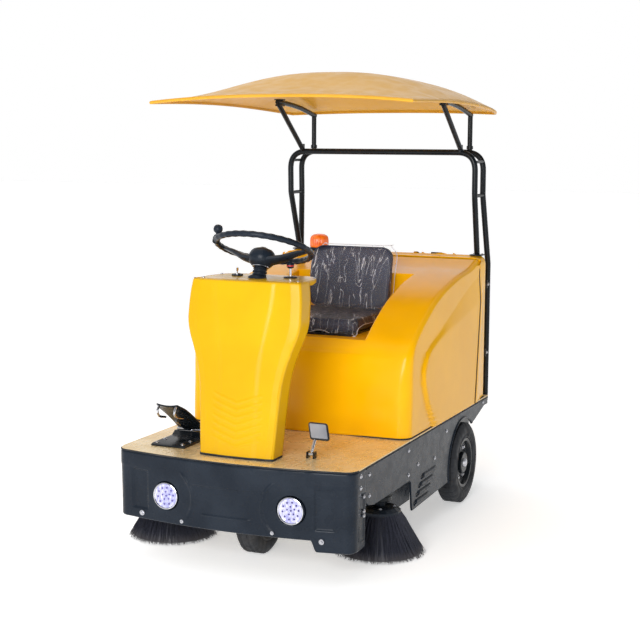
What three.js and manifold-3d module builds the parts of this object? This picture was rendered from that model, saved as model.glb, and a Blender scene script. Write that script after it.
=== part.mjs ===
// Ride-on battery sweeper: three-wheeled chassis with a tiller wheel at the front, two side
// brushes, a transverse main brush, a rear dust hopper and a canopy carried on two hoops.
// Millimetres. +X is the driver's left, -Y is the front, +Z is up. Inside `machine`, Y is
// measured back from the front edge line of the deck; the group is then centred.
import * as THREE from 'three';
import { mergeVertices } from 'three/addons/utils/BufferGeometryUtils.js';
import Module from 'manifold-3d';

const wasm = await Module();
wasm.setup();

// ---- driving dimensions ----
const GAP = 0.35;                 // clearance between touching pieces
const DECK_HALF_WIDTH = 524;
const DECK_TOP = 447;
const DECK_THICKNESS = 6;
const DECK_REAR = 1780;
const FRONT_BOW = 50;             // how far the front edge bows forward at the middle
const CORNER_RADIUS = 50;
const MIDDLE_Y = 890;             // centre of the whole machine behind the front edge line

const BUMPER_BOTTOM = 165;
const BUMPER_REAR = 130;
const GUARD_BOTTOM = 120;         // the left corner guard drops lower than the bumper
const GUARD_INNER_X = 355;
const SHELL = 10;                 // wall of the moulded plastic parts

const HEADLIGHT_X = 276;
const HEADLIGHT_Z = 280;
const HEADLIGHT_RADIUS = 57;

const RAIL_BOTTOM = 397;
const RAIL_TOP = 440;
const RAIL_OUTER_X = 505;
const RAIL_WIDTH = 50;

const FRONT_WHEEL_Y = 270;
const FRONT_WHEEL_RADIUS = 170;
const FRONT_TYRE_WIDTH = 90;
const REAR_WHEEL_Y = 1380;
const REAR_WHEEL_RADIUS = 190;
const REAR_TYRE_INNER_X = 445;
const REAR_TYRE_WIDTH = 96;
const WHEEL_ARCH_RADIUS = 213;

const SIDE_BRUSH_X = 455;
const SIDE_BRUSH_Y = { left: 465, right: 345 };   // the right-hand arm reaches further forward
const SIDE_BRUSH_RADIUS = 195;
const ARM_PIVOT_Y = 650;
const ARM_PIVOT_Z = 355;
const MAIN_BRUSH_Y = 900;
const MAIN_BRUSH_RADIUS = 140;
const BRISTLE_CLEARANCE = 2;      // bristle tips above the floor

const BODY_HALF_WIDTH = 520;
const BODY_FRONT = 610;
const BODY_REAR = 1775;
const BODY_WALL = 7;
const RECESS_HALF_WIDTH = 290;
const RECESS_FLOOR = 852;
const RECESS_REAR = 1300;

const COWL_DEPTH = 95;
const DASH_FRONT = 160;
const COWL_TOP = 1140;
const WHEEL_TILT = THREE.MathUtils.degToRad(21);
const STEERING_WHEEL = new THREE.Vector3(0, 300, 1265);
const STEERING_WHEEL_RADIUS = 195;

const HOOP_TUBE = 14;
const HOOP_HALF_WIDTH = 485;
const HOOP_TOP = 1645;
const FRONT_HOOP_Y = 1620;
const REAR_HOOP_Y = 1755;
const STRUT_X = 415;
const CANOPY_FRONT = 420;
const CANOPY_REAR = 1830;
const CANOPY_HALF_WIDTH = 592;

// ---- materials ----
const finish = (color, roughness, metalness = 0) =>
  new THREE.MeshStandardMaterial({ color, roughness, metalness });
const yellowCowl = finish(0xedc214, 0.35);
const yellowBody = finish(0xf2a80a, 0.3);
const yellowCanopy = finish(0xe0a53a, 0.4);
const blackPlastic = finish(0x262a33, 0.4);
const blackPaint = finish(0x1e2230, 0.35, 0.3);
const treadPlate = finish(0xb9a98c, 0.35, 0.9);
const darkRubber = finish(0x202226, 0.8);
const bristle = finish(0x2a2d36, 0.9);
const vinyl = finish(0x2b3042, 0.45);
const chrome = finish(0xd8d8dc, 0.12, 1);
const greyMetal = finish(0x7d8087, 0.45, 0.8);
const clearLens = finish(0xe9e4f2, 0.1);
const amberLens = finish(0xf0561c, 0.2);
const redPlastic = finish(0xb32018, 0.4);

const machine = new THREE.Group();
machine.position.y = -MIDDLE_Y;

function add(name, geometry, material) {
  const mesh = new THREE.Mesh(geometry, material);
  mesh.name = name;
  machine.add(mesh);
}

function leftAndRight(make) {
  make('left', 1);
  make('right', -1);
}

// ---- solids: booleans ----
function toSolid(geometry) {
  const bare = geometry.clone();
  bare.deleteAttribute('normal');
  bare.deleteAttribute('uv');
  const merged = mergeVertices(bare, 1e-3);
  const solidMesh = new wasm.Mesh({
    numProp: 3,
    vertProperties: new Float32Array(merged.attributes.position.array),
    triVerts: new Uint32Array(merged.index.array),
  });
  return new wasm.Manifold(solidMesh);
}

function toGeometry(solid) {
  const mesh = solid.getMesh();
  const geometry = new THREE.BufferGeometry();
  geometry.setAttribute('position', new THREE.BufferAttribute(mesh.vertProperties, 3));
  geometry.setIndex(new THREE.BufferAttribute(mesh.triVerts, 1));
  geometry.computeVertexNormals();
  return geometry;
}

const join = (...geometries) =>
  toGeometry(geometries.map(toSolid).reduce((whole, piece) => whole.add(piece)));
const cut = (geometry, ...tools) =>
  toGeometry(tools.map(toSolid).reduce((whole, tool) => whole.subtract(tool), toSolid(geometry)));
const common = (first, second) => toGeometry(toSolid(first).intersect(toSolid(second)));

// ---- solids: shapes ----
function box(x0, x1, y0, y1, z0, z1) {
  const geometry = new THREE.BoxGeometry(x1 - x0, y1 - y0, z1 - z0);
  return geometry.translate((x0 + x1) / 2, (y0 + y1) / 2, (z0 + z1) / 2);
}

function pairOfBoxes(x0, x1, y0, y1, z0, z1) {
  return [box(x0, x1, y0, y1, z0, z1), box(-x1, -x0, y0, y1, z0, z1)];
}

// Outline points [x, y] extruded upwards from z0 to z1.
function plate(points, z0, z1) {
  const shape = new THREE.Shape(points.map(([x, y]) => new THREE.Vector2(x, y)));
  const geometry = new THREE.ExtrudeGeometry(shape, { depth: z1 - z0, bevelEnabled: false });
  return geometry.translate(0, 0, z0);
}

// Outline points [y, z] extruded across the machine from x0 to x1.
function sidePlate(points, x0, x1) {
  const turn = new THREE.Matrix4().makeBasis(
    new THREE.Vector3(0, 1, 0), new THREE.Vector3(0, 0, 1), new THREE.Vector3(1, 0, 0));
  return plate(points, x0, x1).applyMatrix4(turn);
}

// Outline points [x, z] extruded rearwards from y0 to y1.
function frontPlate(points, y0, y1) {
  const turn = new THREE.Matrix4().makeBasis(
    new THREE.Vector3(1, 0, 0), new THREE.Vector3(0, 0, 1), new THREE.Vector3(0, -1, 0));
  return plate(points, -y1, -y0).applyMatrix4(turn);
}

// Profile points [radius, height] turned about +Z, then aimed along a direction at a place.
function turned(points, direction, place, sides = 24) {
  const profile = points.map(([radius, height]) => new THREE.Vector2(radius, height));
  const lathe = new THREE.LatheGeometry(profile, sides);
  lathe.rotateX(Math.PI / 2);
  const aim = new THREE.Quaternion().setFromUnitVectors(new THREE.Vector3(0, 0, 1), direction);
  return lathe.applyQuaternion(aim).translate(place.x, place.y, place.z);
}

const AXIS = {
  x: new THREE.Vector3(1, 0, 0),
  y: new THREE.Vector3(0, 1, 0),
  z: new THREE.Vector3(0, 0, 1),
};
const at = (x, y, z) => new THREE.Vector3(x, y, z);

const rod = (radius, from, to, direction, place, sides = 16) =>
  turned([[0, from], [radius, from], [radius, to], [0, to]], direction, place, sides);
const ringBody = (inner, outer, from, to, direction, place, sides = 24) => turned(
  [[inner, from], [outer, from], [outer, to], [inner, to], [inner, from]],
  direction, place, sides);

// Points of an arc; angles in degrees.
function arc(cx, cy, radius, from, to, steps) {
  return Array.from({ length: steps + 1 }, (_, i) => {
    const angle = THREE.MathUtils.degToRad(from + (to - from) * i / steps);
    return [cx + radius * Math.cos(angle), cy + radius * Math.sin(angle)];
  });
}

// Moves each edge of a closed counter-clockwise outline inwards by a distance.
function inset(points, distance) {
  const count = points.length;
  return points.map((point, i) => {
    const before = points[(i + count - 1) % count];
    const after = points[(i + 1) % count];
    const a = new THREE.Vector2(point[0] - before[0], point[1] - before[1]).normalize();
    const b = new THREE.Vector2(after[0] - point[0], after[1] - point[1]).normalize();
    const normal = new THREE.Vector2(-a.y - b.y, a.x + b.x).normalize();
    const stretch = distance / (normal.x * -a.y + normal.y * a.x);
    return [point[0] + normal.x * stretch, point[1] + normal.y * stretch];
  });
}

// A round tube along straight runs joined by bends; points are Vector3, bend is the length
// that each corner takes from its runs.
function bentTube(points, radius, bend, steps, sides = 8) {
  const path = new THREE.CurvePath();
  let start = points[0];
  for (let i = 1; i < points.length - 1; i += 1) {
    const corner = points[i];
    const enter = corner.clone().lerp(points[i - 1], bend / corner.distanceTo(points[i - 1]));
    const leave = corner.clone().lerp(points[i + 1], bend / corner.distanceTo(points[i + 1]));
    path.add(new THREE.LineCurve3(start, enter));
    path.add(new THREE.QuadraticBezierCurve3(enter, corner, leave));
    start = leave;
  }
  path.add(new THREE.LineCurve3(start, points[points.length - 1]));
  const section = new THREE.Shape(
    arc(0, 0, radius, 0, 360 - 360 / sides, sides - 1).map(([x, y]) => new THREE.Vector2(x, y)));
  return new THREE.ExtrudeGeometry(section, { steps, extrudePath: path });
}

function strut(from, to, radius, sides = 10) {
  const direction = to.clone().sub(from);
  return rod(radius, 0, direction.length(), direction.clone().normalize(), from, sides);
}

// ---- chassis, deck and bumper ----
// Front edge of the deck in plan, from the driver's right to left: corner, bow, corner.
function frontEdge(offset = 0) {
  const halfWidth = DECK_HALF_WIDTH - offset;
  const radius = CORNER_RADIUS - offset;
  const cornerX = DECK_HALF_WIDTH - CORNER_RADIUS;
  const right = arc(-cornerX, CORNER_RADIUS, radius, 180, 270, 5);
  const left = arc(cornerX, CORNER_RADIUS, radius, 270, 360, 5);
  const bowSteps = 10;
  const bow = Array.from({ length: bowSteps - 1 }, (_, i) => {
    const s = 2 * (i + 1) / bowSteps - 1;
    return [s * cornerX, offset - FRONT_BOW * (1 - s * s)];
  });
  return { points: [...right, ...bow, ...left], halfWidth };
}

function makeDeck() {
  const { points, halfWidth } = frontEdge();
  const outline = [...points, [halfWidth, DECK_REAR], [-halfWidth, DECK_REAR]];
  const sheet = plate(outline, DECK_TOP - DECK_THICKNESS, DECK_TOP);
  const ear = (x) => box(x, x + 5, 150, 180, DECK_TOP - 1, DECK_TOP + 26);
  add('deck_plate', join(sheet, ear(258), ear(287)), treadPlate);
}

function makeChassis() {
  const innerX = RAIL_OUTER_X - RAIL_WIDTH;
  const crossMember = (y0, y1) => box(-innerX - 1, innerX + 1, y0, y1, RAIL_BOTTOM, RAIL_TOP);
  const frame = join(
    ...pairOfBoxes(innerX, RAIL_OUTER_X, 30, 1745, RAIL_BOTTOM, RAIL_TOP),
    crossMember(30, 70),
    crossMember(215, 325),
    crossMember(680, 730),
    crossMember(1350, 1410),
    box(-513, 513, 1740, 1816, RAIL_BOTTOM, RAIL_TOP),
    box(-60, 60, 215, 325, 364, RAIL_BOTTOM + 1),
    ...pairOfBoxes(370, 400, 1350, 1410, 229, RAIL_BOTTOM + 1),
    ...pairOfBoxes(424, 432, 1450, 1770, 127, RAIL_BOTTOM + 1),
    ...pairOfBoxes(384, 425, 1450, 1770, 127, 133),
    ...pairOfBoxes(423, 456, 1500, 1530, RAIL_BOTTOM, RAIL_TOP),
    ...pairOfBoxes(430, 436, ARM_PIVOT_Y - 20, ARM_PIVOT_Y + 35, ARM_PIVOT_Z - 20, RAIL_TOP),
    ...pairOfBoxes(474, 480, ARM_PIVOT_Y - 20, ARM_PIVOT_Y + 35, ARM_PIVOT_Z - 20, RAIL_TOP),
    ...pairOfBoxes(430, 457, ARM_PIVOT_Y, ARM_PIVOT_Y + 35, RAIL_BOTTOM, RAIL_TOP));
  const kingpinBore = rod(20.5, 350, 450, AXIS.z, at(0, FRONT_WHEEL_Y, 0), 24);
  const pinBore = rod(7, -500, 500, AXIS.x, at(0, ARM_PIVOT_Y, ARM_PIVOT_Z));
  add('chassis_frame', cut(frame, kingpinBore, pinBore), blackPaint);
}

function makeBumper() {
  const outer = frontEdge();
  const inner = frontEdge(SHELL);
  const outline = [
    [-outer.halfWidth, BUMPER_REAR], ...outer.points, [outer.halfWidth, BUMPER_REAR],
    [inner.halfWidth, BUMPER_REAR], ...inner.points.slice().reverse(),
    [-inner.halfWidth, BUMPER_REAR],
  ];
  const shell = plate(outline, GUARD_BOTTOM, DECK_TOP - DECK_THICKNESS - GAP);
  const lowerCut = box(-600, GUARD_INNER_X, -100, 200, GUARD_BOTTOM - 5, BUMPER_BOTTOM);
  const lampHole = (side) =>
    rod(HEADLIGHT_RADIUS + 1, -100, 60, AXIS.y, at(side * HEADLIGHT_X, 0, HEADLIGHT_Z), 24);
  add('front_bumper', cut(shell, lowerCut, lampHole(1), lampHole(-1)), blackPlastic);
}

function makeHeadlights() {
  const front = -46;
  leftAndRight((name, side) => {
    const place = at(side * HEADLIGHT_X, 0, HEADLIGHT_Z);
    const housing = turned([
      [0, 25], [30, 25], [HEADLIGHT_RADIUS, 0], [HEADLIGHT_RADIUS, front + 3],
      [HEADLIGHT_RADIUS - 3, front], [50, front], [48, front + 12], [0, front + 12],
    ].reverse(), AXIS.y, place, 20);
    const lens = turned([
      [0, front + 1], [30, front + 2], [46, front + 5], [46, front + 11.5], [0, front + 11.5],
    ], AXIS.y, place, 16);
    add(`headlight_housing_${name}`, housing, chrome);
    add(`headlight_lens_${name}`, lens, clearLens);
  });
}

function makeSideSkirts() {
  const top = DECK_TOP - DECK_THICKNESS - GAP;
  const bottom = 130;
  const drop = bottom - REAR_WHEEL_RADIUS;
  const startAngle = 180 - THREE.MathUtils.radToDeg(Math.asin(drop / WHEEL_ARCH_RADIUS));
  const outline = [
    [BUMPER_REAR + GAP, top], [BUMPER_REAR + GAP, 300], [215, 270], [650, 270], [668, bottom],
    ...arc(REAR_WHEEL_Y, REAR_WHEEL_RADIUS, WHEEL_ARCH_RADIUS, startAngle, 48, 14),
    [1785, 420], [1785, top],
  ];
  leftAndRight((name, side) => {
    const x = side * (DECK_HALF_WIDTH - SHELL / 2);
    add(`side_skirt_${name}`, sidePlate(outline, x - 4.5, x + 4.5), blackPlastic);
  });
}

// ---- wheels and drive ----
function makeFrontWheel() {
  const place = at(0, FRONT_WHEEL_Y, FRONT_WHEEL_RADIUS);
  const crown = FRONT_WHEEL_RADIUS * 2 + 6;
  const fork = join(
    rod(19, crown, DECK_TOP - DECK_THICKNESS - 1, AXIS.z, at(0, FRONT_WHEEL_Y, 0), 24),
    box(-68, 68, FRONT_WHEEL_Y - 34, FRONT_WHEEL_Y + 34, crown, crown + 12),
    ...pairOfBoxes(56, 68, FRONT_WHEEL_Y - 24, FRONT_WHEEL_Y + 24, 146, crown + 1),
    rod(11, -67, 67, AXIS.x, place));
  add('steering_fork', fork, blackPaint);
  add('front_rim', turned([
    [11.6, -44], [34, -44], [34, -20], [86, -20], [86, -42], [98, -42],
    [98, 42], [86, 42], [86, 20], [34, 20], [34, 44], [11.6, 44], [11.6, -44],
  ], AXIS.x, place), greyMetal);
  const half = FRONT_TYRE_WIDTH / 2;
  add('front_tyre', turned([
    [98.4, -40], [120, -half], [FRONT_WHEEL_RADIUS - 22, -half], [FRONT_WHEEL_RADIUS - 4, -34],
    [FRONT_WHEEL_RADIUS, -14], [FRONT_WHEEL_RADIUS, 14], [FRONT_WHEEL_RADIUS - 4, 34],
    [FRONT_WHEEL_RADIUS - 22, half], [120, half], [98.4, 40], [98.4, -40],
  ], AXIS.x, place), darkRubber);
}

function makeRearWheels() {
  const place = at(0, REAR_WHEEL_Y, REAR_WHEEL_RADIUS);
  leftAndRight((name, side) => {
    const direction = AXIS.x.clone().multiplyScalar(side);
    const centre = REAR_TYRE_INNER_X + REAR_TYRE_WIDTH / 2;
    const half = REAR_TYRE_WIDTH / 2;
    const outwards = (points) => turned(
      points.map(([r, h]) => [r, h + centre]), direction, place);
    add(`rear_rim_${name}`, outwards([
      [15.8, -46], [50, -46], [50, -8], [96, 4], [104, -42], [118, -42],
      [118, 42], [104, 42], [98, 22], [56, 20], [50, 38], [15.8, 38], [15.8, -46],
    ]), greyMetal);
    add(`rear_tyre_${name}`, outwards([
      [118.4, -42], [140, -half], [REAR_WHEEL_RADIUS - 20, -half], [REAR_WHEEL_RADIUS - 3, -36],
      [REAR_WHEEL_RADIUS, -16], [REAR_WHEEL_RADIUS, 16], [REAR_WHEEL_RADIUS - 3, 36],
      [REAR_WHEEL_RADIUS - 20, half], [140, half], [118.4, 42], [118.4, -42],
    ]), darkRubber);
  });
}

function makeDrive() {
  const place = at(0, REAR_WHEEL_Y, REAR_WHEEL_RADIUS);
  const stubEnd = REAR_TYRE_INNER_X + REAR_TYRE_WIDTH - 8;
  add('rear_axle', join(
    rod(38, -436, 436, AXIS.x, place),
    rod(15, -stubEnd, stubEnd, AXIS.x, place),
    rod(78, -60, 60, AXIS.x, place),
    box(-50, 50, 1300, REAR_WHEEL_Y, 140, 240)), greyMetal);
  add('drive_motor', join(
    rod(54, 1130, 1300 - GAP, AXIS.y, at(0, 0, REAR_WHEEL_RADIUS), 20),
    box(-22, 22, 1170, 1230, REAR_WHEEL_RADIUS + 40, REAR_WHEEL_RADIUS + 76)), blackPaint);
}

// ---- brushes and hopper ----
function makeSideBrushes() {
  const discBottom = 168;
  leftAndRight((name, side) => {
    const x = side * SIDE_BRUSH_X;
    const y = SIDE_BRUSH_Y[name];
    const place = at(x, y, 0);
    add(`side_brush_arm_${name}`, join(
      box(x - 34, x + 34, y - 52, 590, 322, 330),
      box(x - 17, x + 17, 560, ARM_PIVOT_Y, 322, 330),
      box(x - 17, x + 17, ARM_PIVOT_Y - 14, ARM_PIVOT_Y + 14, 322, ARM_PIVOT_Z),
      rod(14, -17, 17, AXIS.x, at(x, ARM_PIVOT_Y, ARM_PIVOT_Z)),
      rod(6, -30, 30, AXIS.x, at(x, ARM_PIVOT_Y, ARM_PIVOT_Z), 12)), blackPaint);
    add(`side_brush_motor_${name}`, turned([
      [0, 222], [46, 222], [48, 226], [48, 306], [36, 322 - GAP], [0, 322 - GAP],
    ], AXIS.z, place, 16), blackPaint);
    add(`side_brush_disc_${name}`, turned([
      [0, discBottom], [88, discBottom], [88, 184], [70, 196], [22, 200], [22, 222 - GAP],
      [0, 222 - GAP],
    ], AXIS.z, place, 18), blackPlastic);
    add(`side_brush_bristles_${name}`, turned([
      [70, discBottom - GAP], [SIDE_BRUSH_RADIUS - 45, BRISTLE_CLEARANCE],
      [SIDE_BRUSH_RADIUS, BRISTLE_CLEARANCE], [SIDE_BRUSH_RADIUS - 18, 34],
      [112, 120], [96, discBottom - GAP], [70, discBottom - GAP],
    ], AXIS.z, place, 22), bristle);
  });
}

function makeMainBrush() {
  const place = at(0, MAIN_BRUSH_Y, MAIN_BRUSH_RADIUS + BRISTLE_CLEARANCE);
  add('main_brush_core', rod(46, -356, 356, AXIS.x, place, 20), blackPlastic);
  add('main_brush_bristles', ringBody(46.6, MAIN_BRUSH_RADIUS, -345, 345, AXIS.x, place),
    bristle);
  const front = MAIN_BRUSH_Y - MAIN_BRUSH_RADIUS - 18;
  const rear = MAIN_BRUSH_Y + MAIN_BRUSH_RADIUS + 18;
  add('main_brush_housing', cut(
    box(-374, 374, front, rear, 70, 330),
    box(-362, 362, front + 8, rear - 8, 60, 322)), blackPlastic);
}

function makeHopper() {
  const shell = box(-400, 400, 1452, 1782, 134, 386);
  const inside = box(-391, 391, 1440, 1772, 144, 378);
  const handle = join(
    box(-90, -78, 1780, 1812, 250, 262), box(78, 90, 1780, 1812, 250, 262),
    box(-90, 90, 1802, 1812, 250, 262));
  add('dust_hopper', join(cut(shell, inside), handle), blackPlastic);
}

// ---- body ----
// Side view of the bodywork, [y, z]; the split to the rear cover leans forward at its foot.
const BODY_BASE = DECK_TOP + GAP;
const SPLIT_FOOT = [1531, BODY_BASE];
const SPLIT_TOP = [1617, 1136];
const SPLIT_GAP = 7;

function bodyProfile() {
  return [
    [617, BODY_BASE], SPLIT_FOOT, SPLIT_TOP, [1570, 1112], [1300, 1072], [1100, 1030],
    [960, 986], [870, 946], [755, 884], [690, 848], [652, 800], [636, 740], [622, 600],
  ];
}

function rearProfile() {
  return [
    [SPLIT_FOOT[0] + SPLIT_GAP, BODY_BASE], [BODY_REAR, BODY_BASE], [BODY_REAR, 1146],
    [SPLIT_TOP[0] + SPLIT_GAP, 1139],
  ];
}

function bodyPlan(distance) {
  const x = BODY_HALF_WIDTH - distance;
  const y0 = BODY_FRONT + distance;
  const y1 = BODY_REAR - distance;
  const front = 55 - distance;
  const rear = 75 - distance;
  return [
    ...arc(x - front, y0 + front, front, 270, 360, 5), ...arc(x - rear, y1 - rear, rear, 0, 90, 5),
    ...arc(rear - x, y1 - rear, rear, 90, 180, 5),
    ...arc(front - x, y0 + front, front, 180, 270, 5),
  ];
}

// Open-bottomed shell: what lies inside both the profile and the plan, hollowed by the wall.
function bodyShell(profile, hollowProfile) {
  const outside = common(
    sidePlate(profile, -600, 600), plate(bodyPlan(0), BODY_BASE - 5, 1300));
  const hollow = common(
    sidePlate(hollowProfile, -600, 600), plate(bodyPlan(BODY_WALL), BODY_BASE - 50, 1300));
  return { outside, hollow };
}

function lowerFoot(points) {
  return points.map(([y, z]) => [y, z < BODY_BASE + 20 ? BODY_BASE - 20 : z]);
}

function makeBody() {
  const { outside, hollow } = bodyShell(bodyProfile(), lowerFoot(inset(bodyProfile(), BODY_WALL)));
  const recess = (grow) => box(
    -RECESS_HALF_WIDTH - grow, RECESS_HALF_WIDTH + grow,
    BODY_FRONT - 30, RECESS_REAR + grow, RECESS_FLOOR - grow, 1300);
  const cavity = cut(hollow, recess(BODY_WALL));
  add('main_body', cut(outside, cavity, recess(0)), yellowBody);
}

function makeRearCover() {
  const inside = lowerFoot(inset(rearProfile(), BODY_WALL));
  const { outside, hollow } = bodyShell(rearProfile(), inside);
  const doorway = box(-380, 380, BODY_REAR - 20, BODY_REAR + 10, 500, 1080);
  add('rear_cover', cut(outside, hollow, doorway), yellowBody);
  add('tail_door', join(
    box(-377, 377, BODY_REAR - 9, BODY_REAR, 503, 1077),
    box(300, 316, BODY_REAR - 1, BODY_REAR + 18, 740, 860)), yellowBody);
}

function makeInternals() {
  add('battery_pack', join(
    box(-330, 330, 710, 1180, DECK_TOP + GAP, 700),
    box(-322, 322, 718, 1172, 699, 720),
    ...[-240, -80, 80, 240].flatMap((x) => [790, 1100].map(
      (y) => box(x - 12, x + 12, y - 12, y + 12, 719, 738)))), blackPlastic);
  add('dust_filter', join(
    box(-200, 200, 1592, 1740, DECK_TOP + GAP, 700),
    rod(52, 699, 760, AXIS.z, at(0, 1666, 0), 18)), greyMetal);
}

// ---- cowl, steering and controls ----
// Half width of the cowl at each height, foot to top.
const COWL_SIDE = [
  [163, BODY_BASE], [169, 545], [175, 646], [184, 747], [199, 815], [218, 875], [237, 925],
  [249, 975], [250, 1035], [247, 1090], [240, COWL_TOP],
];

function cowlFront(z) {
  const rise = (z - DECK_TOP) / (COWL_TOP - DECK_TOP);
  return 38 + 68 * rise + 22 * rise * rise;
}

function leanWithCowl(geometry) {
  const position = geometry.attributes.position;
  for (let i = 0; i < position.count; i += 1) {
    position.setY(i, position.getY(i) + cowlFront(position.getZ(i)));
  }
  return geometry;
}

function makeCowl() {
  const outline = (distance) => {
    const side = COWL_SIDE.map(([x, z]) => [
      x - distance, z === BODY_BASE ? z - distance : Math.min(z, COWL_TOP - distance)]);
    const mirrored = side.map(([x, z]) => [-x, z]).reverse();
    return [...side, ...mirrored];
  };
  const outside = leanWithCowl(frontPlate(outline(0), 0, COWL_DEPTH));
  const inside = leanWithCowl(frontPlate(outline(8), 8, COWL_DEPTH + 20));
  const dashSeat = box(-300, 300, DASH_FRONT - 1, 400, COWL_TOP - 14 - GAP, COWL_TOP + 10);
  add('steering_cowl', cut(outside, inside, dashSeat), yellowCowl);
}

const COLUMN = at(0, Math.sin(WHEEL_TILT), Math.cos(WHEEL_TILT));

function makeDashboard() {
  const outline = [
    [-236, DASH_FRONT], [236, DASH_FRONT], [236, 268], ...arc(150, 330, 66, 0, 90, 5),
    ...arc(-150, 330, 66, 90, 180, 5), [-236, 268],
  ];
  const slab = plate(outline, COWL_TOP - 14, COWL_TOP + 8);
  const columnHole = rod(40, -220, -60, COLUMN, STEERING_WHEEL, 24);
  add('dashboard', cut(slab, columnHole), yellowCowl);
  const keyPlace = at(-120, 300, COWL_TOP + 8 + GAP);
  add('ignition_key', join(
    rod(13, 0, 10, AXIS.z, keyPlace),
    box(-122, -118, 291, 309, COWL_TOP + 17, COWL_TOP + 40)), greyMetal);
  add('direction_lever', join(
    rod(5, 0, 34, AXIS.z, at(120, 300, COWL_TOP + 14), 12),
    turned([[0, 32], [13, 34], [15, 44], [13, 56], [0, 60]], AXIS.z,
      at(120, 300, COWL_TOP + 14), 16)), redPlastic);
}

function makeSteering() {
  const ribs = Array.from({ length: 3 }, (_, i) => {
    const low = -134 + i * 14;
    return [[38, low], [38, low + 8], [34, low + 9], [34, low + 13]];
  }).flat();
  add('column_sleeve', turned([
    [15, -190], [36, -190], [36, -137], ...ribs, [38, -90], [30, -84], [15, -84], [15, -190],
  ], COLUMN, STEERING_WHEEL, 14), blackPlastic);

  const rim = new THREE.TorusGeometry(STEERING_WHEEL_RADIUS, 13, 6, 32);
  const aim = new THREE.Quaternion().setFromUnitVectors(AXIS.z, COLUMN);
  const spoke = (angle) => {
    const shape = new THREE.BoxGeometry(168, 34, 10);
    shape.rotateY(-0.36).translate(112, 0, -34).rotateZ(angle);
    return shape.applyQuaternion(aim).translate(...STEERING_WHEEL.toArray());
  };
  const hub = turned([
    [0, -230], [12, -230], [12, -82], [30, -80], [44, -66], [40, -40], [36, -12],
    [28, -6], [26, -6], [26, -20], [0, -20],
  ], COLUMN, STEERING_WHEEL, 16);
  rim.applyQuaternion(aim).translate(...STEERING_WHEEL.toArray());
  add('steering_wheel', join(rim, hub, ...[0.1, 3.04].map(spoke)), blackPlastic);
  add('horn_button', turned([
    [0, -16], [24, -16], [24, -5], [18, 1], [0, 4],
  ], COLUMN, STEERING_WHEEL, 16), blackPlastic);

  const knobAngle = THREE.MathUtils.degToRad(209);
  const knobPlace = at(
    STEERING_WHEEL_RADIUS * Math.cos(knobAngle), STEERING_WHEEL_RADIUS * Math.sin(knobAngle), 0);
  knobPlace.applyQuaternion(aim).add(STEERING_WHEEL);
  add('spinner_knob', turned([
    [0, 13.6], [13, 13.6], [13, 19], [6, 22], [6, 27], [14, 32], [19, 42], [18, 52], [11, 61],
    [0, 63],
  ], COLUMN, knobPlace, 12), blackPlastic);
}

function makePedals() {
  const accelerator = { x0: -420, x1: -260 };
  add('accelerator_base', sidePlate(
    [[95, BODY_BASE], [318, BODY_BASE], [318, 474], [295, 474], [270, 458], [95, 458]],
    accelerator.x0, accelerator.x1), blackPlastic);
  add('accelerator_pedal', join(
    sidePlate([[306, 475], [312, 486], [112, 596], [88, 606], [84, 598], [104, 584], [292, 478]],
      accelerator.x0 + 8, accelerator.x1 - 8),
    rod(7, accelerator.x0 + 10, accelerator.x1 - 10, AXIS.x, at(0, 303, 482), 12)), blackPlastic);
  const pad = new THREE.BoxGeometry(78, 9, 62).rotateX(-0.42).translate(290, 204, 548);
  const stem = strut(at(275, 165, 462), at(281, 209, 543), 6);
  const pivot = rod(7, 264, 286, AXIS.x, at(0, 165, 462), 12);
  add('brake_pedal', join(pad, stem, pivot), chrome);
}

// ---- seat ----
function makeSeat() {
  add('seat_pan', join(
    box(-200, 200, 760, 1262, RECESS_FLOOR + GAP, RECESS_FLOOR + 10),
    sidePlate([
      [1242, 855], [1256, 855], [1256, 936], [1276, 1010], [1266, 1014], [1244, 938],
    ], -70, 70)), blackPaint);
  const cornered = (halfWidth, from, to, radius) => [
    ...arc(halfWidth - radius, from + radius, radius, 270, 360, 4),
    ...arc(halfWidth - radius, to - radius, radius, 0, 90, 4),
    ...arc(radius - halfWidth, to - radius, radius, 90, 180, 4),
    ...arc(radius - halfWidth, from + radius, radius, 180, 270, 4),
  ];
  add('seat_cushion', plate(
    cornered(214, 790, 1225, 40), RECESS_FLOOR + 10 + GAP, 930), vinyl);
  const lean = 0.25;
  const back = frontPlate(cornered(208, 936, 1212, 55), 1192, 1238);
  const position = back.attributes.position;
  for (let i = 0; i < position.count; i += 1) {
    position.setY(i, position.getY(i) + (position.getZ(i) - 936) * lean);
  }
  add('seat_back', back, vinyl);
}

// ---- hoops, canopy and beacon ----
function makeHoops() {
  const hoop = (y, foot) => {
    const half = [
      ...foot, at(HOOP_HALF_WIDTH - 1, y + 5, 1440), at(HOOP_HALF_WIDTH, y, HOOP_TOP)];
    const other = half.map((p) => at(-p.x, p.y, p.z)).reverse();
    return bentTube([...half, ...other], HOOP_TUBE, 88, 44);
  };
  const frontFoot = [at(474, 1716, 1147)];
  add('front_hoop', hoop(FRONT_HOOP_Y, frontFoot), blackPaint);
  const rearFoot = [at(505, 1800, RAIL_TOP + GAP), at(505, 1800, 1100)];
  const spacers = [1, -1].map((side) => strut(
    at(side * 484, FRONT_HOOP_Y + 31, 1438), at(side * 486, REAR_HOOP_Y + 6, 1438), 9, 8));
  add('rear_hoop', join(hoop(REAR_HOOP_Y, rearFoot), ...spacers), blackPaint);
}

function canopyRim(v) {
  return 1864 - 24 * v * v + 14 * Math.sin(Math.PI * v);
}

function canopyRise(u, v) {
  const across = 1 - Math.abs(u) ** 2.4;
  const along = 0.19 + 0.81 * THREE.MathUtils.smoothstep(v, 0, 0.42);
  const tail = 1 - THREE.MathUtils.smoothstep(v, 0.7, 1.06) ** 1.2;
  return 130 * across * along * tail;
}

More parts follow.
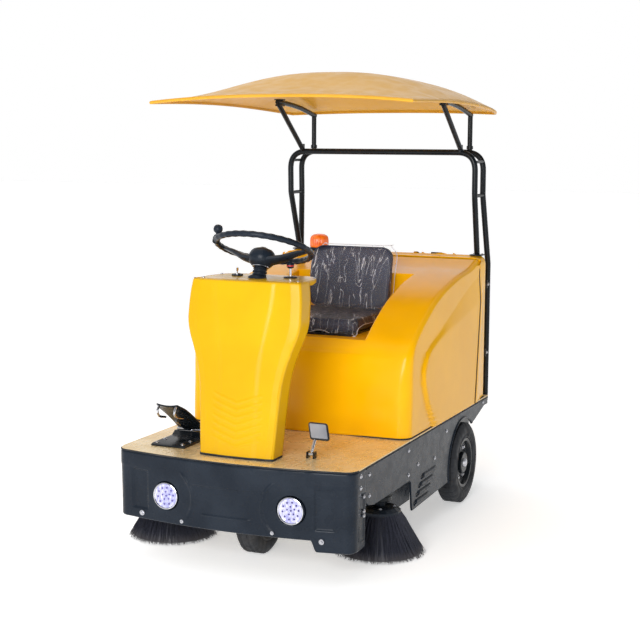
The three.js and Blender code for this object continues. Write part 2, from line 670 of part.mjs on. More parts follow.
function makeCanopy() {
  const thickness = 8;
  const shell = new THREE.BoxGeometry(2, 1, 1, 12, 10, 1);
  const position = shell.attributes.position;
  for (let i = 0; i < position.count; i += 1) {
    const u = position.getX(i);
    const v = position.getY(i) + 0.5;
    const under = position.getZ(i) < 0 ? thickness : 0;
    const halfWidth = CANOPY_HALF_WIDTH * (1 - 0.09 * v ** 6);
    const cornerPull = 70 * Math.abs(u) ** 5 * v ** 8;
    position.setXYZ(i, u * halfWidth,
      CANOPY_FRONT + (CANOPY_REAR - CANOPY_FRONT) * v - cornerPull,
      canopyRim(v) + canopyRise(u, v) - under);
  }
  add('canopy', shell, yellowCanopy);
}

function makeCanopyFrame() {
  leftAndRight((name, side) => {
    const x = side * STRUT_X;
    const path = new THREE.CatmullRomCurve3([
      at(x, 1315, 1882), at(x, 1450, 1874), at(x, 1600, 1856), at(x, 1765, 1824)]);
    const section = new THREE.Shape(
      arc(0, 0, 12, 0, 315, 7).map(([a, b]) => new THREE.Vector2(a, b)));
    add(`canopy_rail_${name}`,
      new THREE.ExtrudeGeometry(section, { steps: 12, extrudePath: path }), blackPaint);
    add(`canopy_post_${name}`,
      strut(at(x, REAR_HOOP_Y, HOOP_TOP + HOOP_TUBE + GAP), at(x, REAR_HOOP_Y, 1811), 12),
      blackPaint);
    add(`canopy_strut_${name}`,
      strut(at(x, 1606, 1666), at(x, 1345, 1858), 12), blackPaint);
  });
}

function makeBeacon() {
  const place = at(-350, 1680, 1146.5);
  add('beacon_base', turned([
    [0, 0], [52, 0], [52, 8], [46, 14], [0, 14],
  ], AXIS.z, place, 16), blackPlastic);
  add('beacon_lens', turned([
    [0, 14.4], [45, 14.4], [47, 22], [46, 58], [40, 72], [26, 80], [0, 82],
  ], AXIS.z, place, 16), amberLens);
}

makeChassis();
makeDeck();
makeBumper();
makeHeadlights();
makeSideSkirts();
makeFrontWheel();
makeRearWheels();
makeDrive();
makeSideBrushes();
makeMainBrush();
makeHopper();
makeBody();
makeRearCover();
makeInternals();
makeCowl();
makeDashboard();
makeSteering();
makePedals();
makeSeat();
makeHoops();
makeCanopy();
makeCanopyFrame();
makeBeacon();

export default machine;
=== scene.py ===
"""Looks of a battery ride-on sweeper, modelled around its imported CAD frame.

Lengths are metres. Shapes are worked out in the machine's own coordinates, with y measured
back from the front of the deck. piece() moves them to the frame, whose origin is half way
along the machine.
"""
import math
import random

import bmesh
import bpy
from mathutils import Matrix, Vector, noise


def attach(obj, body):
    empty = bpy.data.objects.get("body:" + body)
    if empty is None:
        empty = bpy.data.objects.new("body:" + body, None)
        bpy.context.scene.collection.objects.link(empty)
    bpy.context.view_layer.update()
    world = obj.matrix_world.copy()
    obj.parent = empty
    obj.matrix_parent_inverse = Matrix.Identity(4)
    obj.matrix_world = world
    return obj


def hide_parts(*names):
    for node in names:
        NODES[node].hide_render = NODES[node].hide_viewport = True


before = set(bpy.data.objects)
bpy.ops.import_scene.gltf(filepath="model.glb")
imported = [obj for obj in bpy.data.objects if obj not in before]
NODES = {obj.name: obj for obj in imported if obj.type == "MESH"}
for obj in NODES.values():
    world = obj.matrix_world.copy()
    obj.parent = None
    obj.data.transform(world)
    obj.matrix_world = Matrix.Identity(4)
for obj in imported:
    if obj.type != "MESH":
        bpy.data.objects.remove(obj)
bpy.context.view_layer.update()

SIDES = (("left", 1), ("right", -1))

# ---- driving dimensions ----
MIDDLE = 0.890
DECK_TOP = 0.447
DECK_HALF_WIDTH = 0.524
FRONT_BOW = 0.050
CORNER_RADIUS = 0.050
BODY_HALF_WIDTH = 0.520
BODY_BASE = 0.4475
RECESS_FLOOR = 0.852
RECESS_HALF_WIDTH = 0.290
RECESS_REAR = 1.300
BODY_REAR = 1.775
COWL_TOP = 1.140
COWL_DEPTH = 0.095
HEADLIGHT_PLACE = (0.276, 0.280)
FRONT_WHEEL = (0.0, 0.270, 0.170)
REAR_WHEEL = (0.493, 1.380, 0.190)
SIDE_BRUSH = {"left": (0.455, 0.465), "right": (0.455, 0.345)}
BRUSH_TIP = 0.002
MAIN_BRUSH = (0.0, 0.900, 0.142)
WHEEL_CENTRE = Vector((0.0, 0.300, 1.265))
WHEEL_TILT = math.radians(21)
COLUMN = Vector((0.0, math.sin(WHEEL_TILT), math.cos(WHEEL_TILT)))
WHEEL_RADIUS = 0.195
STRUT_X = 0.415
HOOP_TUBE = 0.014
HOOP_BEND = 0.088
WALL = 0.006  # thickness of the yellow mouldings
DECK_REAR = 1.780
RAISED = 0.013  # how far the side panels stand out
SPLIT_FOOT = 1.531  # where the body meets the rear cover, at its foot
FENDER = 0.213  # radius of the skirt's cut-out round the rear wheel
CAMERA_PLACE = (2.423, -5.618, 1.7055)
CAMERA_ANGLES = (23.36, 7.51, 0.265)  # heading, tilt and roll, degrees
CAMERA_LENS = 77.16


# ---- small numbers ----
def clamp(x, low=0.0, high=1.0):
    return min(max(x, low), high)


def lerp(a, b, t):
    return a + (b - a) * t


def ease(x, low=0.0, high=1.0):
    t = clamp((x - low) / (high - low))
    return t * t * (3 - 2 * t)


def spread(low, high, count):
    """count numbers from low to high, evenly spaced."""
    return [lerp(low, high, i / (count - 1)) for i in range(count)]


def through(points, count):
    """A smooth open curve of count points through given ones (Catmull-Rom by chord length)."""
    points = [Vector(p) for p in points]
    points = [points[0] * 2 - points[1]] + points + [points[-1] * 2 - points[-2]]
    knots = [0.0]
    for a, b in zip(points, points[1:]):
        knots.append(knots[-1] + max((b - a).length, 1e-6) ** 0.5)
    curve = []
    for s in spread(knots[1], knots[-2] - 1e-7, count):
        i = max(k for k in range(1, len(knots) - 2) if knots[k] <= s)
        k0, k1, k2, k3 = knots[i - 1:i + 3]
        p0, p1, p2, p3 = points[i - 1:i + 3]
        a1 = p0.lerp(p1, (s - k0) / (k1 - k0))
        a2 = p1.lerp(p2, (s - k1) / (k2 - k1))
        a3 = p2.lerp(p3, (s - k2) / (k3 - k2))
        b1 = a1.lerp(a2, (s - k0) / (k2 - k0))
        b2 = a2.lerp(a3, (s - k1) / (k3 - k1))
        curve.append(b1.lerp(b2, (s - k1) / (k2 - k1)))
    return curve


def value_at(table, x):
    """Reads a table of (x, value) pairs, with straight lines between them."""
    for (x0, v0), (x1, v1) in zip(table, table[1:]):
        if x <= x1:
            return lerp(v0, v1, clamp((x - x0) / max(x1 - x0, 1e-9)))
    return table[-1][1]


def turns(count):
    """count angles evenly round a circle, in radians."""
    return [2 * math.pi * k / count for k in range(count)]


def right_hand(path):
    """Unit vectors square to a flat path, on its right, one for each point."""
    square = []
    for i in range(len(path)):
        run = (path[min(i + 1, len(path) - 1)] - path[max(i - 1, 0)]).normalized()
        square.append(Vector((run.y, -run.x)))
    return square


def arc(cx, cy, radius, start, end, count):
    """count points of an arc in a plane, angles in degrees."""
    angles = [math.radians(a) for a in spread(start, end, count)]
    return [(cx + radius * math.cos(a), cy + radius * math.sin(a)) for a in angles]


def rounded_outline(half_x, y0, y1, radius, count=8):
    """A rounded rectangle in a plane, counter-clockwise."""
    x = half_x - radius
    return (arc(x, y0 + radius, radius, 270, 360, count) + arc(x, y1 - radius, radius, 0, 90, count)
            + arc(-x, y1 - radius, radius, 90, 180, count)
            + arc(-x, y0 + radius, radius, 180, 270, count))


# ---- shapes: a list of points and a list of faces ----
class Shape:
    def __init__(self, points=(), faces=()):
        self.points = [Vector(p) for p in points]
        self.faces = [tuple(f) for f in faces]

    def add(self, *others):
        for other in others:
            base = len(self.points)
            self.points += other.points
            self.faces += [tuple(i + base for i in f) for f in other.faces]
        return self

    def moved(self, matrix):
        return Shape([matrix @ p for p in self.points], self.faces)

    def mirrored(self):
        return Shape([(-p.x, p.y, p.z) for p in self.points], [f[::-1] for f in self.faces])


def merge(shapes):
    return Shape().add(*shapes)


def grid(rows, around=False, along=False):
    """Quads through rows of points; around closes each row, along joins last row to first."""
    width = len(rows[0])
    faces = []
    for i in range(len(rows) if along else len(rows) - 1):
        for j in range(width if around else width - 1):
            a, b = i * width, ((i + 1) % len(rows)) * width
            k = (j + 1) % width
            faces.append((a + j, a + k, b + k, b + j))
    return Shape([p for row in rows for p in row], faces)


def frame_of(direction):
    """A rotation that turns +Z to the direction."""
    return Vector((0, 0, 1)).rotation_difference(Vector(direction)).to_matrix().to_4x4()


def lathe(profile, place=(0, 0, 0), direction=(0, 0, 1), sides=48):
    """Turns (radius, height) pairs round an axis."""
    turn = Matrix.Translation(Vector(place)) @ frame_of(direction)
    rows = [[turn @ Vector((r * math.cos(a), r * math.sin(a), h)) for a in turns(sides)]
            for r, h in profile]
    return grid(rows, around=True)


def prism(outline, low, high, axis="z"):
    """A flat outline drawn out along an axis: (x, y) for z, (x, z) for y, (y, z) for x."""
    spot = {"z": lambda p, h: (p[0], p[1], h), "y": lambda p, h: (p[0], h, p[1]),
            "x": lambda p, h: (h, p[0], p[1])}[axis]
    count = len(outline)
    points = [spot(p, h) for h in (low, high) for p in outline]
    faces = [tuple(range(count))[::-1], tuple(range(count, 2 * count))]
    faces += [(i, (i + 1) % count, (i + 1) % count + count, i + count) for i in range(count)]
    return Shape(points, faces)


def block(x0, x1, y0, y1, z0, z1):
    return prism([(x0, y0), (x1, y0), (x1, y1), (x0, y1)], z0, z1)


def sweep(path, radius, sides=16, closed=False, squash=1.0, up=None):
    """A tube along a path, radius a number or one for each point; squash flattens its section."""
    path = [Vector(p) for p in path]
    count = len(path)
    radii = radius if isinstance(radius, (list, tuple)) else [radius] * count
    normal = Vector(up) if up else None
    rows = []
    for i, p in enumerate(path):
        before = path[i - 1] if closed or i else path[0]
        after = path[(i + 1) % count] if closed or i < count - 1 else path[-1]
        tangent = (after - before).normalized()
        if normal is None:
            normal = tangent.orthogonal().normalized()
        normal = (normal - tangent * normal.dot(tangent)).normalized()
        side = tangent.cross(normal)
        rows.append([p + (side * math.cos(a) + normal * math.sin(a) * squash) * radii[i]
                     for a in turns(sides)])
    shape = grid(rows, around=True, along=closed)
    if not closed:
        last = len(shape.points)
        shape.faces.append(tuple(range(sides))[::-1])
        shape.faces.append(tuple(range(last - sides, last)))
    return shape


def bent(corners, radius, steps=9):
    """A path of straight runs with round bends at the corners."""
    corners = [Vector(c) for c in corners]
    path = [corners[0]]
    for before, corner, after in zip(corners, corners[1:], corners[2:]):
        into = (before - corner).normalized()
        out = (after - corner).normalized()
        half = into.angle(out) / 2
        reach = min(radius / math.tan(half), (before - corner).length * 0.49,
                    (after - corner).length * 0.49)
        start, end = corner + into * reach, corner + out * reach
        path += [start.lerp(corner, t).lerp(corner.lerp(end, t), t) for t in spread(0, 1, steps)]
    path.append(corners[-1])
    return path


def bolt(place, direction, radius):
    """A hexagon-head screw on its washer, facing the direction."""
    washer = lathe([(0, 0.002), (radius * 1.45, 0.002), (radius * 1.6, 0.001),
                    (radius * 1.6, -0.003)], place, direction, 20)
    head = lathe([(0, radius * 0.95), (radius * 0.8, radius * 0.95), (radius, radius * 0.75),
                  (radius, 0.001)], place, direction, 6)
    return merge([washer, head])


def bolt_circle(centre, direction, reach, count, radius):
    """Bolts evenly round a centre, in the plane across the machine's x axis."""
    x, y, z = centre
    return [bolt((x, y + reach * math.cos(a), z + reach * math.sin(a)), direction, radius)
            for a in turns(count)]


def bevel_edges(obj, width, segments, angle, harden):
    edge = obj.modifiers.new("edges", "BEVEL")
    edge.width = width
    edge.segments = segments
    edge.limit_method = "ANGLE"
    edge.angle_limit = math.radians(angle)
    edge.harden_normals = harden


def piece(name, shape, material, body="chassis", stands_for=(), bevel=0.0, angle=35,
          thick=0.0):
    """Makes a mesh object of the shape, in the frame's place, that rides on a CAD body."""
    mesh = bpy.data.meshes.new(name)
    mesh.from_pydata([(p.x, p.y - MIDDLE, p.z) for p in shape.points], [], shape.faces)
    work = bmesh.new()
    work.from_mesh(mesh)
    bmesh.ops.remove_doubles(work, verts=work.verts, dist=2e-5)
    bmesh.ops.dissolve_degenerate(work, edges=work.edges, dist=1e-6)
    bmesh.ops.recalc_face_normals(work, faces=work.faces)
    work.to_mesh(mesh)
    work.free()
    mesh.shade_smooth()
    if not bevel:
        mesh.set_sharp_from_angle(angle=math.radians(angle))
    obj = bpy.data.objects.new(name, mesh)
    bpy.context.scene.collection.objects.link(obj)
    mesh.materials.append(material)
    if thick:
        shell = obj.modifiers.new("wall", "SOLIDIFY")
        shell.thickness = thick
        shell.offset = -1
        shell.use_even_offset = False
    if bevel:
        bevel_edges(obj, bevel, 3, angle, True)
    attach(obj, body)
    if stands_for:
        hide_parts(*stands_for)
    return obj


# ---- materials ----
def set_range(node, low, high, to_low, to_high):
    """Gives a Map Range node a smooth step from one pair of values to the other."""
    node.interpolation_type = "SMOOTHSTEP"
    for socket, number in (("From Min", low), ("From Max", high), ("To Min", to_low),
                           ("To Max", to_high)):
        node.inputs[socket].default_value = number


class Paint:
    """Builds one node material: patchy colour, uneven gloss, fine relief, edge wear and dust."""

    def __init__(self, name, **fixed):
        self.material = bpy.data.materials.new(name)
        self.material.use_nodes = True
        self.nodes = self.material.node_tree.nodes
        self.links = self.material.node_tree.links
        self.shader = self.nodes["Principled BSDF"]
        for socket, value in fixed.items():
            self.shader.inputs[socket.replace("_", " ")].default_value = value
        self.place = self.nodes.new("ShaderNodeTexCoord").outputs["Object"]

    def node(self, kind, **inputs):
        made = self.nodes.new("ShaderNode" + kind)
        for socket, value in inputs.items():
            self.set(made.inputs[socket.replace("_", " ")], value)
        return made

    def set(self, socket, value):
        if isinstance(value, bpy.types.NodeSocket):
            self.links.new(value, socket)
        else:
            socket.default_value = value

    def noise(self, scale, detail=4.0, stretch=None, distortion=0.0):
        vector = self.place
        if stretch:
            vector = self.node("Mapping", Vector=vector, Scale=stretch).outputs["Vector"]
        made = self.node("TexNoise", Vector=vector, Scale=scale, Detail=detail,
                         Distortion=distortion)
        return made.outputs["Fac"]

    def between(self, value, low, high, to_low=0.0, to_high=1.0):
        made = self.node("MapRange", Value=value)
        set_range(made, low, high, to_low, to_high)
        return made.outputs["Result"]

    def mottle(self, scale, detail, low=0.0, high=1.0, stretch=None):
        """Soft noise patches that run from low to high."""
        return self.between(self.noise(scale, detail, stretch), 0.3, 0.7, low, high)

    def product(self, first, second):
        made = self.node("Math")
        made.operation = "MULTIPLY"
        self.links.new(first, made.inputs[0])
        self.links.new(second, made.inputs[1])
        return made.outputs["Value"]

    def mix(self, factor, first, second, blend="MIX"):
        made = self.nodes.new("ShaderNodeMix")
        made.data_type = "RGBA"
        made.blend_type = blend
        self.set(made.inputs[0], factor)
        for socket, value in ((made.inputs[6], first), (made.inputs[7], second)):
            self.set(socket, value)
        return made.outputs[2]

    def bump(self, height, strength, distance=0.001):
        before = self.shader.inputs["Normal"].links
        made = self.node("Bump", Height=height)
        made.inputs["Strength"].default_value = strength
        made.inputs["Distance"].default_value = distance
        if before:
            self.links.new(before[0].from_socket, made.inputs["Normal"])
        self.links.new(made.outputs["Normal"], self.shader.inputs["Normal"])

    def colour(self, socket):
        self.links.new(socket, self.shader.inputs["Base Color"])

    def rough(self, socket):
        self.links.new(socket, self.shader.inputs["Roughness"])

    def worn_edges(self, low=0.60, high=0.72):
        """How much a point sticks out, broken up by noise: 0 on flat parts, 1 on bare edges."""
        sharp = self.between(self.node("NewGeometry").outputs["Pointiness"], low, high)
        return self.product(sharp, self.between(self.noise(35, 5), 0.42, 0.62))

    def facing_up(self, amount):
        """Dust that settles on what faces up, thinned by noise."""
        normal = self.node("NewGeometry").outputs["Normal"]
        split = self.node("SeparateXYZ", Vector=normal)
        level = self.between(split.outputs["Z"], 0.3, 1.0)
        return self.product(level, self.between(self.noise(14, 6), 0.35, 0.75, 0.0, amount))


def rgb(r, g, b):
    """Linear colour from values as seen on a screen, 0 to 1."""
    def linear(c):
        return c / 12.92 if c <= 0.04045 else ((c + 0.055) / 1.055) ** 2.4
    return (linear(r), linear(g), linear(b), 1.0)


DUST = rgb(0.62, 0.60, 0.56)


def moulded(name, dark, light, patch=3.0, gloss=(0.16, 0.26), coat=0.02, ripple=0.06, dust=0.02):
    """Glossy gel-coated moulding with a faint ripple."""
    p = Paint(name, Coat_Weight=coat, Coat_Roughness=0.08, Specular_IOR_Level=0.18)
    colour = p.mix(p.between(p.noise(patch, 3), 0.32, 0.68), dark, light)
    speck = p.between(p.noise(220, 2), 0.60, 0.75, 0.0, 0.05)
    colour = p.mix(speck, colour, dark)
    colour = p.mix(p.facing_up(dust), colour, DUST)
    p.colour(colour)
    p.rough(p.mottle(18, 5, *gloss))
    p.bump(p.noise(9, 2), ripple, 0.004)
    p.bump(p.noise(260, 2), 0.04, 0.0004)
    return p.material


def coated(name, dark, light, gloss=(0.28, 0.46), metal=0.0, coat=0.15, grain=(700, 0.12),
           wear=None, dust=0.04, patch=7, shine=0.5):
    """Paint, plastic or plate with grain, edge wear and settled dust."""
    p = Paint(name, Coat_Weight=coat, Coat_Roughness=0.2, Metallic=metal,
              Specular_IOR_Level=shine)
    colour = p.mix(p.mottle(patch, 6), dark, light)
    if wear:
        colour = p.mix(p.worn_edges(), colour, wear)
    colour = p.mix(p.facing_up(dust), colour, DUST)
    p.colour(colour)
    p.rough(p.mottle(26, 6, *gloss))
    p.bump(p.noise(grain[0], 3), grain[1], 0.0005)
    return p.material


def brushed(name, dark, light, gloss, stretch=(1, 1, 14)):
    """Bare or plated metal with fine drawn lines."""
    p = Paint(name, Metallic=1.0)
    lines = p.noise(60, 4, stretch)
    p.colour(p.mix(p.between(lines, 0.3, 0.7), dark, light))
    p.rough(p.mottle(90, 4, *gloss, stretch))
    p.bump(lines, 0.08, 0.0005)
    return p.material


def rubber(name):
    p = Paint(name, Specular_IOR_Level=0.35)
    colour = p.mix(p.mottle(12, 6), rgb(0.10, 0.11, 0.13), rgb(0.17, 0.18, 0.20))
    p.colour(p.mix(p.between(p.noise(5, 7), 0.50, 0.75, 0.0, 0.35), colour, rgb(0.40, 0.38, 0.36)))
    p.rough(p.mottle(30, 5, 0.55, 0.85))
    p.bump(p.noise(500, 4), 0.25, 0.0008)
    return p.material


def bristled(name, dark, light):
    """Stiff plastic filament: fine streaks from root to tip, lighter dusty tips."""
    p = Paint(name)
    streak = p.noise(420, 3, (1, 1, 0.04))
    colour = p.mix(p.between(streak, 0.35, 0.65), dark, light)
    height = p.node("SeparateXYZ", Vector=p.place).outputs["Z"]
    p.colour(p.mix(p.between(height, 0.05, 0.0, 0.0, 0.45), colour, rgb(0.42, 0.40, 0.39)))
    p.rough(p.between(streak, 0.3, 0.7, 0.40, 0.65))
    p.bump(streak, 0.5, 0.0015)
    return p.material


def leather(name):
    """Dark vinyl with a fine pebble grain and stretched creases."""
    p = Paint(name, Coat_Weight=0.08, Coat_Roughness=0.22, Specular_IOR_Level=0.3)
    pebble = p.node("TexVoronoi", Vector=p.place, Scale=430)
    pebble.feature = "DISTANCE_TO_EDGE"
    colour = p.mix(p.mottle(9, 5), rgb(0.13, 0.15, 0.23), rgb(0.17, 0.19, 0.28))
    p.colour(p.mix(p.facing_up(0.03), colour, DUST))
    p.rough(p.mottle(40, 5, 0.30, 0.48))
    p.bump(p.between(pebble.outputs["Distance"], 0.0, 0.12), 0.30, 0.0006)
    p.bump(p.noise(24, 3, (1, 1, 0.35), 0.8), 0.25, 0.004)
    return p.material


def film(name):
    """Clear packing film: nearly invisible face on, with painted highlights: crease lines along a
    noise pattern made nearly opaque white.
    """
    p = Paint(name, IOR=1.40, Specular_IOR_Level=0.5)
    crease = p.noise(12, 4, (2.0, 1.0, 0.28), 0.8)
    ridge = p.between(crease, 0.486, 0.50)
    valley = p.between(crease, 0.514, 0.50)
    line = p.product(ridge, valley)
    p.colour(p.mix(p.mottle(60, 3), rgb(0.86, 0.87, 0.95), rgb(1.0, 1.0, 1.0)))
    p.rough(p.mottle(30, 4, 0.08, 0.30))
    # Painted highlight: alpha rises along the crease lines, so they show as near-white streaks in
    # place of light caught by the creases.
    p.links.new(p.between(line, 0.0, 1.0, 0.05, 0.60), p.shader.inputs["Alpha"])
    p.bump(p.noise(12, 4, (1.5, 1, 0.35), 1.2), 0.8, 0.010)
    return p.material


def lamp_glass(name, colour, deep, glow):
    """Moulded lamp cover with fine prisms and a little light of its own."""
    p = Paint(name, Coat_Weight=0.6, Coat_Roughness=0.05, Emission_Strength=glow,
              Emission_Color=colour)
    prism_lines = p.noise(130, 2, (1, 1, 0.2))
    p.colour(p.mix(p.between(prism_lines, 0.35, 0.65), deep, colour))
    p.rough(p.mottle(40, 3, 0.10, 0.22))
    p.bump(prism_lines, 0.3, 0.001)
    return p.material


# Painted shade: the cowl is the body's yellow set darker, to offset the extra key light it catches.
SHADED_COWL_YELLOW = moulded("cowl_gelcoat_painted_shade", rgb(0.84, 0.645, 0.03), rgb(0.87, 0.68, 0.05))
BODY_YELLOW = moulded("body_gelcoat", rgb(0.97, 0.71, 0.01), rgb(1.0, 0.74, 0.02))
CANOPY_YELLOW = moulded("canopy_gelcoat", rgb(0.85, 0.63, 0.18), rgb(0.88, 0.66, 0.22),
                        gloss=(0.28, 0.42), coat=0.05, ripple=0.10)
BLACK_PLASTIC = coated("black_moulding", rgb(0.09, 0.12, 0.16), rgb(0.13, 0.16, 0.20),
                       gloss=(0.20, 0.34), wear=rgb(0.22, 0.24, 0.27), coat=0.0, shine=0.16)
BLACK_PAINT = coated("black_enamel", rgb(0.06, 0.08, 0.10), rgb(0.10, 0.12, 0.14),
                     gloss=(0.18, 0.32), coat=0.0, grain=(300, 0.05), wear=rgb(0.20, 0.21, 0.22),
                     shine=0.20)
# Aluminium tread plate: its warm tan tint is partly a painted reflection of the yellow bodywork
# around it; the worn edges show the plate's own pale metal.
TREAD_PLATE_PAINTED_REFLECTION = coated("tread_plate", rgb(0.90, 0.79, 0.58), rgb(0.95, 0.86, 0.68), metal=0.30,
                     gloss=(0.24, 0.36), coat=0.0, grain=(160, 0.05), wear=rgb(0.86, 0.83, 0.78),
                     patch=9)
PEDAL_STEEL = coated("pedal_steel", rgb(0.50, 0.51, 0.54), rgb(0.64, 0.65, 0.68), metal=0.5,
                     gloss=(0.34, 0.50), coat=0.0, grain=(300, 0.1))
GREY_METAL = coated("cast_metal", rgb(0.36, 0.37, 0.39), rgb(0.55, 0.56, 0.58), metal=0.7,
                    gloss=(0.35, 0.55), coat=0.0, grain=(300, 0.2), wear=rgb(0.75, 0.75, 0.76))
CHROME = brushed("plated_steel", rgb(0.72, 0.73, 0.76), rgb(0.92, 0.92, 0.94), gloss=(0.06, 0.16))
SCREW = brushed("zinc_screw", rgb(0.62, 0.63, 0.66), rgb(0.85, 0.85, 0.87), gloss=(0.18, 0.34))
TYRE = rubber("tyre_rubber")
BRISTLE = bristled("black_bristle", rgb(0.10, 0.11, 0.15), rgb(0.20, 0.21, 0.27))
VINYL = leather("seat_vinyl")
FILM = film("packing_film_painted_highlights")
# The film's folded edge coloured opaque near-white: partly the real hem, partly a painted highlight
# along the edge.
FILM_EDGE_HIGHLIGHT = coated("film_edge_highlight", rgb(0.72, 0.72, 0.78), rgb(0.94, 0.94, 0.98), gloss=(0.10, 0.25),
                  coat=0.3, dust=0.0)
LAMP_WHITE = lamp_glass("lamp_white", rgb(0.82, 0.82, 0.94), rgb(0.62, 0.62, 0.82), 0.10)
LED_CHIP = coated("led_chip", rgb(0.25, 0.22, 0.45), rgb(0.42, 0.38, 0.65), gloss=(0.1, 0.2),
                  coat=0.5, grain=(200, 0.02), dust=0.0)
AMBER = lamp_glass("beacon_glass", rgb(1.0, 0.52, 0.10), rgb(0.92, 0.34, 0.04), 0.10)
RED_PLASTIC = coated("red_plastic", rgb(0.62, 0.05, 0.04), rgb(0.80, 0.10, 0.08), coat=0.4)
SEAL = rubber("black_seal")


# ---- cowl and dashboard ----
COWL_SIDE = [  # height, half width
    (0.447, 0.163), (0.545, 0.169), (0.646, 0.175), (0.747, 0.184), (0.815, 0.199), (0.875, 0.218),
    (0.925, 0.237), (0.975, 0.249), (1.035, 0.250), (1.090, 0.247), (1.140, 0.240),
]
COWL_CURVE = [(p.x, p.y) for p in through([(z, x, 0) for z, x in COWL_SIDE], 160)]


def cowl_front(z):
    rise = (z - DECK_TOP) / (COWL_TOP - DECK_TOP)
    return 0.038 + 0.068 * rise + 0.022 * rise * rise


def chevron(x, z):
    """Height of the seven V ribs at the foot of the cowl, 0 to 1."""
    reach = 0.116
    side = abs(x)
    if side > reach:
        return 0.0
    pitch = 0.029
    low = 0.492
    level = (z - 0.33 * side - low) / pitch
    if not -0.5 < level < 6.5:
        return 0.0
    off = abs(level - round(level)) * pitch
    return ease(0.0095 - off, 0.0, 0.0085) * ease(reach - side, 0.0, 0.022)


def cowl_relief(x, z, half):
    """How far the front stands forward of its corners: chamfered sides, a soft panel, the ribs."""
    rise = (z - DECK_TOP) / (COWL_TOP - DECK_TOP)
    side = abs(x) / half
    chamfer = 0.006 * clamp((side - 0.82) / 0.18)
    crown = 0.004 * (1 - side * side)
    panel_half = 0.074 + 0.046 * ease(rise, 0.45, 1.0)
    panel = 0.0040 * ease(abs(x), panel_half + 0.024, panel_half - 0.008)
    ribs = 0.0020 * chevron(x, z) * ease(z, 0.475, 0.49)
    return crown + panel + ribs - chamfer


def make_cowl():
    corner = 0.011
    rows = []
    for z in spread(BODY_BASE, COWL_TOP, 230):
        half = value_at(COWL_CURVE, z)
        y = cowl_front(z)
        rows.append(cowl_row(half, y, z, corner, 0.0))
    for angle in (25, 50, 75, 90):
        turn = math.radians(angle)
        shrink = 0.011 * (1 - math.cos(turn))
        z = COWL_TOP + 0.007 * math.sin(turn)
        rows.append(cowl_row(0.240, cowl_front(COWL_TOP), z, corner, shrink))
    rows.append(cowl_row(0.240, cowl_front(COWL_TOP), COWL_TOP + 0.0068, corner, 0.026))
    piece("cowl_panel", grid(rows), SHADED_COWL_YELLOW, stands_for=["steering_cowl"],
          thick=WALL, angle=60)
    foot = [cowl_row(COWL_SIDE[0][1] + 0.0015, cowl_front(DECK_TOP) - 0.0018, z, corner, 0.0)
            for z in (DECK_TOP - 0.001, DECK_TOP + 0.008)]
    piece("cowl_foot_seal", grid(foot), SEAL, thick=0.004)


def cowl_row(half, y, z, corner, shrink):
    """One level of the cowl: left side wall, rounded corner, front, corner, right side wall."""
    side = half - shrink
    row = [Vector((-side, y + depth, z)) for depth in spread(COWL_DEPTH, corner + 0.006, 9)]
    corner_y = y + corner + shrink + 0.004
    row += [Vector((px, py, z)) for px, py in arc(corner - side, corner_y, corner, 180, 252, 6)]
    for x in spread(corner * 0.7 - side, side - corner * 0.7, 118):
        row.append(Vector((x, y + shrink - cowl_relief(x, z, half), z)))
    row += [Vector((px, py, z)) for px, py in arc(side - corner, corner_y, corner, 288, 360, 6)]
    row += [Vector((side, y + depth, z)) for depth in spread(corner + 0.006, COWL_DEPTH, 9)]
    return row


def make_dashboard():
    front, rear = 0.144, 0.330
    outline = ([(-0.228, front), (0.228, front), (0.236, front + 0.012), (0.236, 0.268)]
               + arc(0.150, rear, 0.066, 10, 90, 9) + arc(-0.150, rear, 0.066, 90, 170, 9)
               + [(-0.236, 0.268), (-0.236, front + 0.012)])
    top = COWL_TOP + 0.008
    slab = prism(outline, COWL_TOP - 0.014, top)
    piece("dashboard_top", slab, SHADED_COWL_YELLOW, stands_for=["dashboard"],
          bevel=0.006, angle=30)
    collar = lathe([(0.026, -0.012), (0.042, -0.010), (0.042, 0.002), (0.038, 0.006),
                    (0.026, 0.008)], (0, 0.2486, top - 0.004), COLUMN, 40)
    piece("column_collar", collar, BLACK_PLASTIC)
    bezel = lathe([(0.014, 0.0), (0.024, 0.0), (0.024, 0.004), (0.021, 0.0065), (0.014, 0.0065)],
                  (-0.120, 0.300, top), sides=32)
    gate = lathe([(0.012, 0.0), (0.028, 0.0), (0.028, 0.003), (0.025, 0.005), (0.012, 0.005)],
                 (0.120, 0.300, top), sides=32)
    piece("dashboard_fittings", merge([bezel, gate]), BLACK_PLASTIC)
    screws = merge([bolt((x, y, top), (0, 0, 1), 0.004)
                    for x in (-0.21, 0.21) for y in (0.175, 0.335)])
    piece("dashboard_screws", screws, SCREW)


# ---- bodywork ----
BODY_SIDE = [  # y, z of the front and top edge, foot first
    (0.617, 0.4475), (0.6185, 0.520), (0.622, 0.600), (0.628, 0.680), (0.638, 0.750),
    (0.655, 0.805), (0.690, 0.852), (0.755, 0.898), (0.870, 0.961), (0.960, 1.001), (1.100, 1.045),
    (1.300, 1.084), (1.480, 1.106), (1.617, 1.136),
]
BODY_TOP_REAR, BODY_TOP = BODY_SIDE[-1]
SPLIT_LEAN = (BODY_TOP_REAR - SPLIT_FOOT) / (BODY_TOP - BODY_BASE)
CREASE = through([
    (0.948, 0.447, 0), (0.913, 0.490, 0), (0.831, 0.603, 0), (0.800, 0.696, 0), (0.849, 0.780, 0),
    (1.052, 0.842, 0), (1.283, 0.881, 0), (1.515, 0.921, 0), (1.640, 0.946, 0)], 70)


def split_at(z):
    return SPLIT_FOOT + SPLIT_LEAN * (z - BODY_BASE)


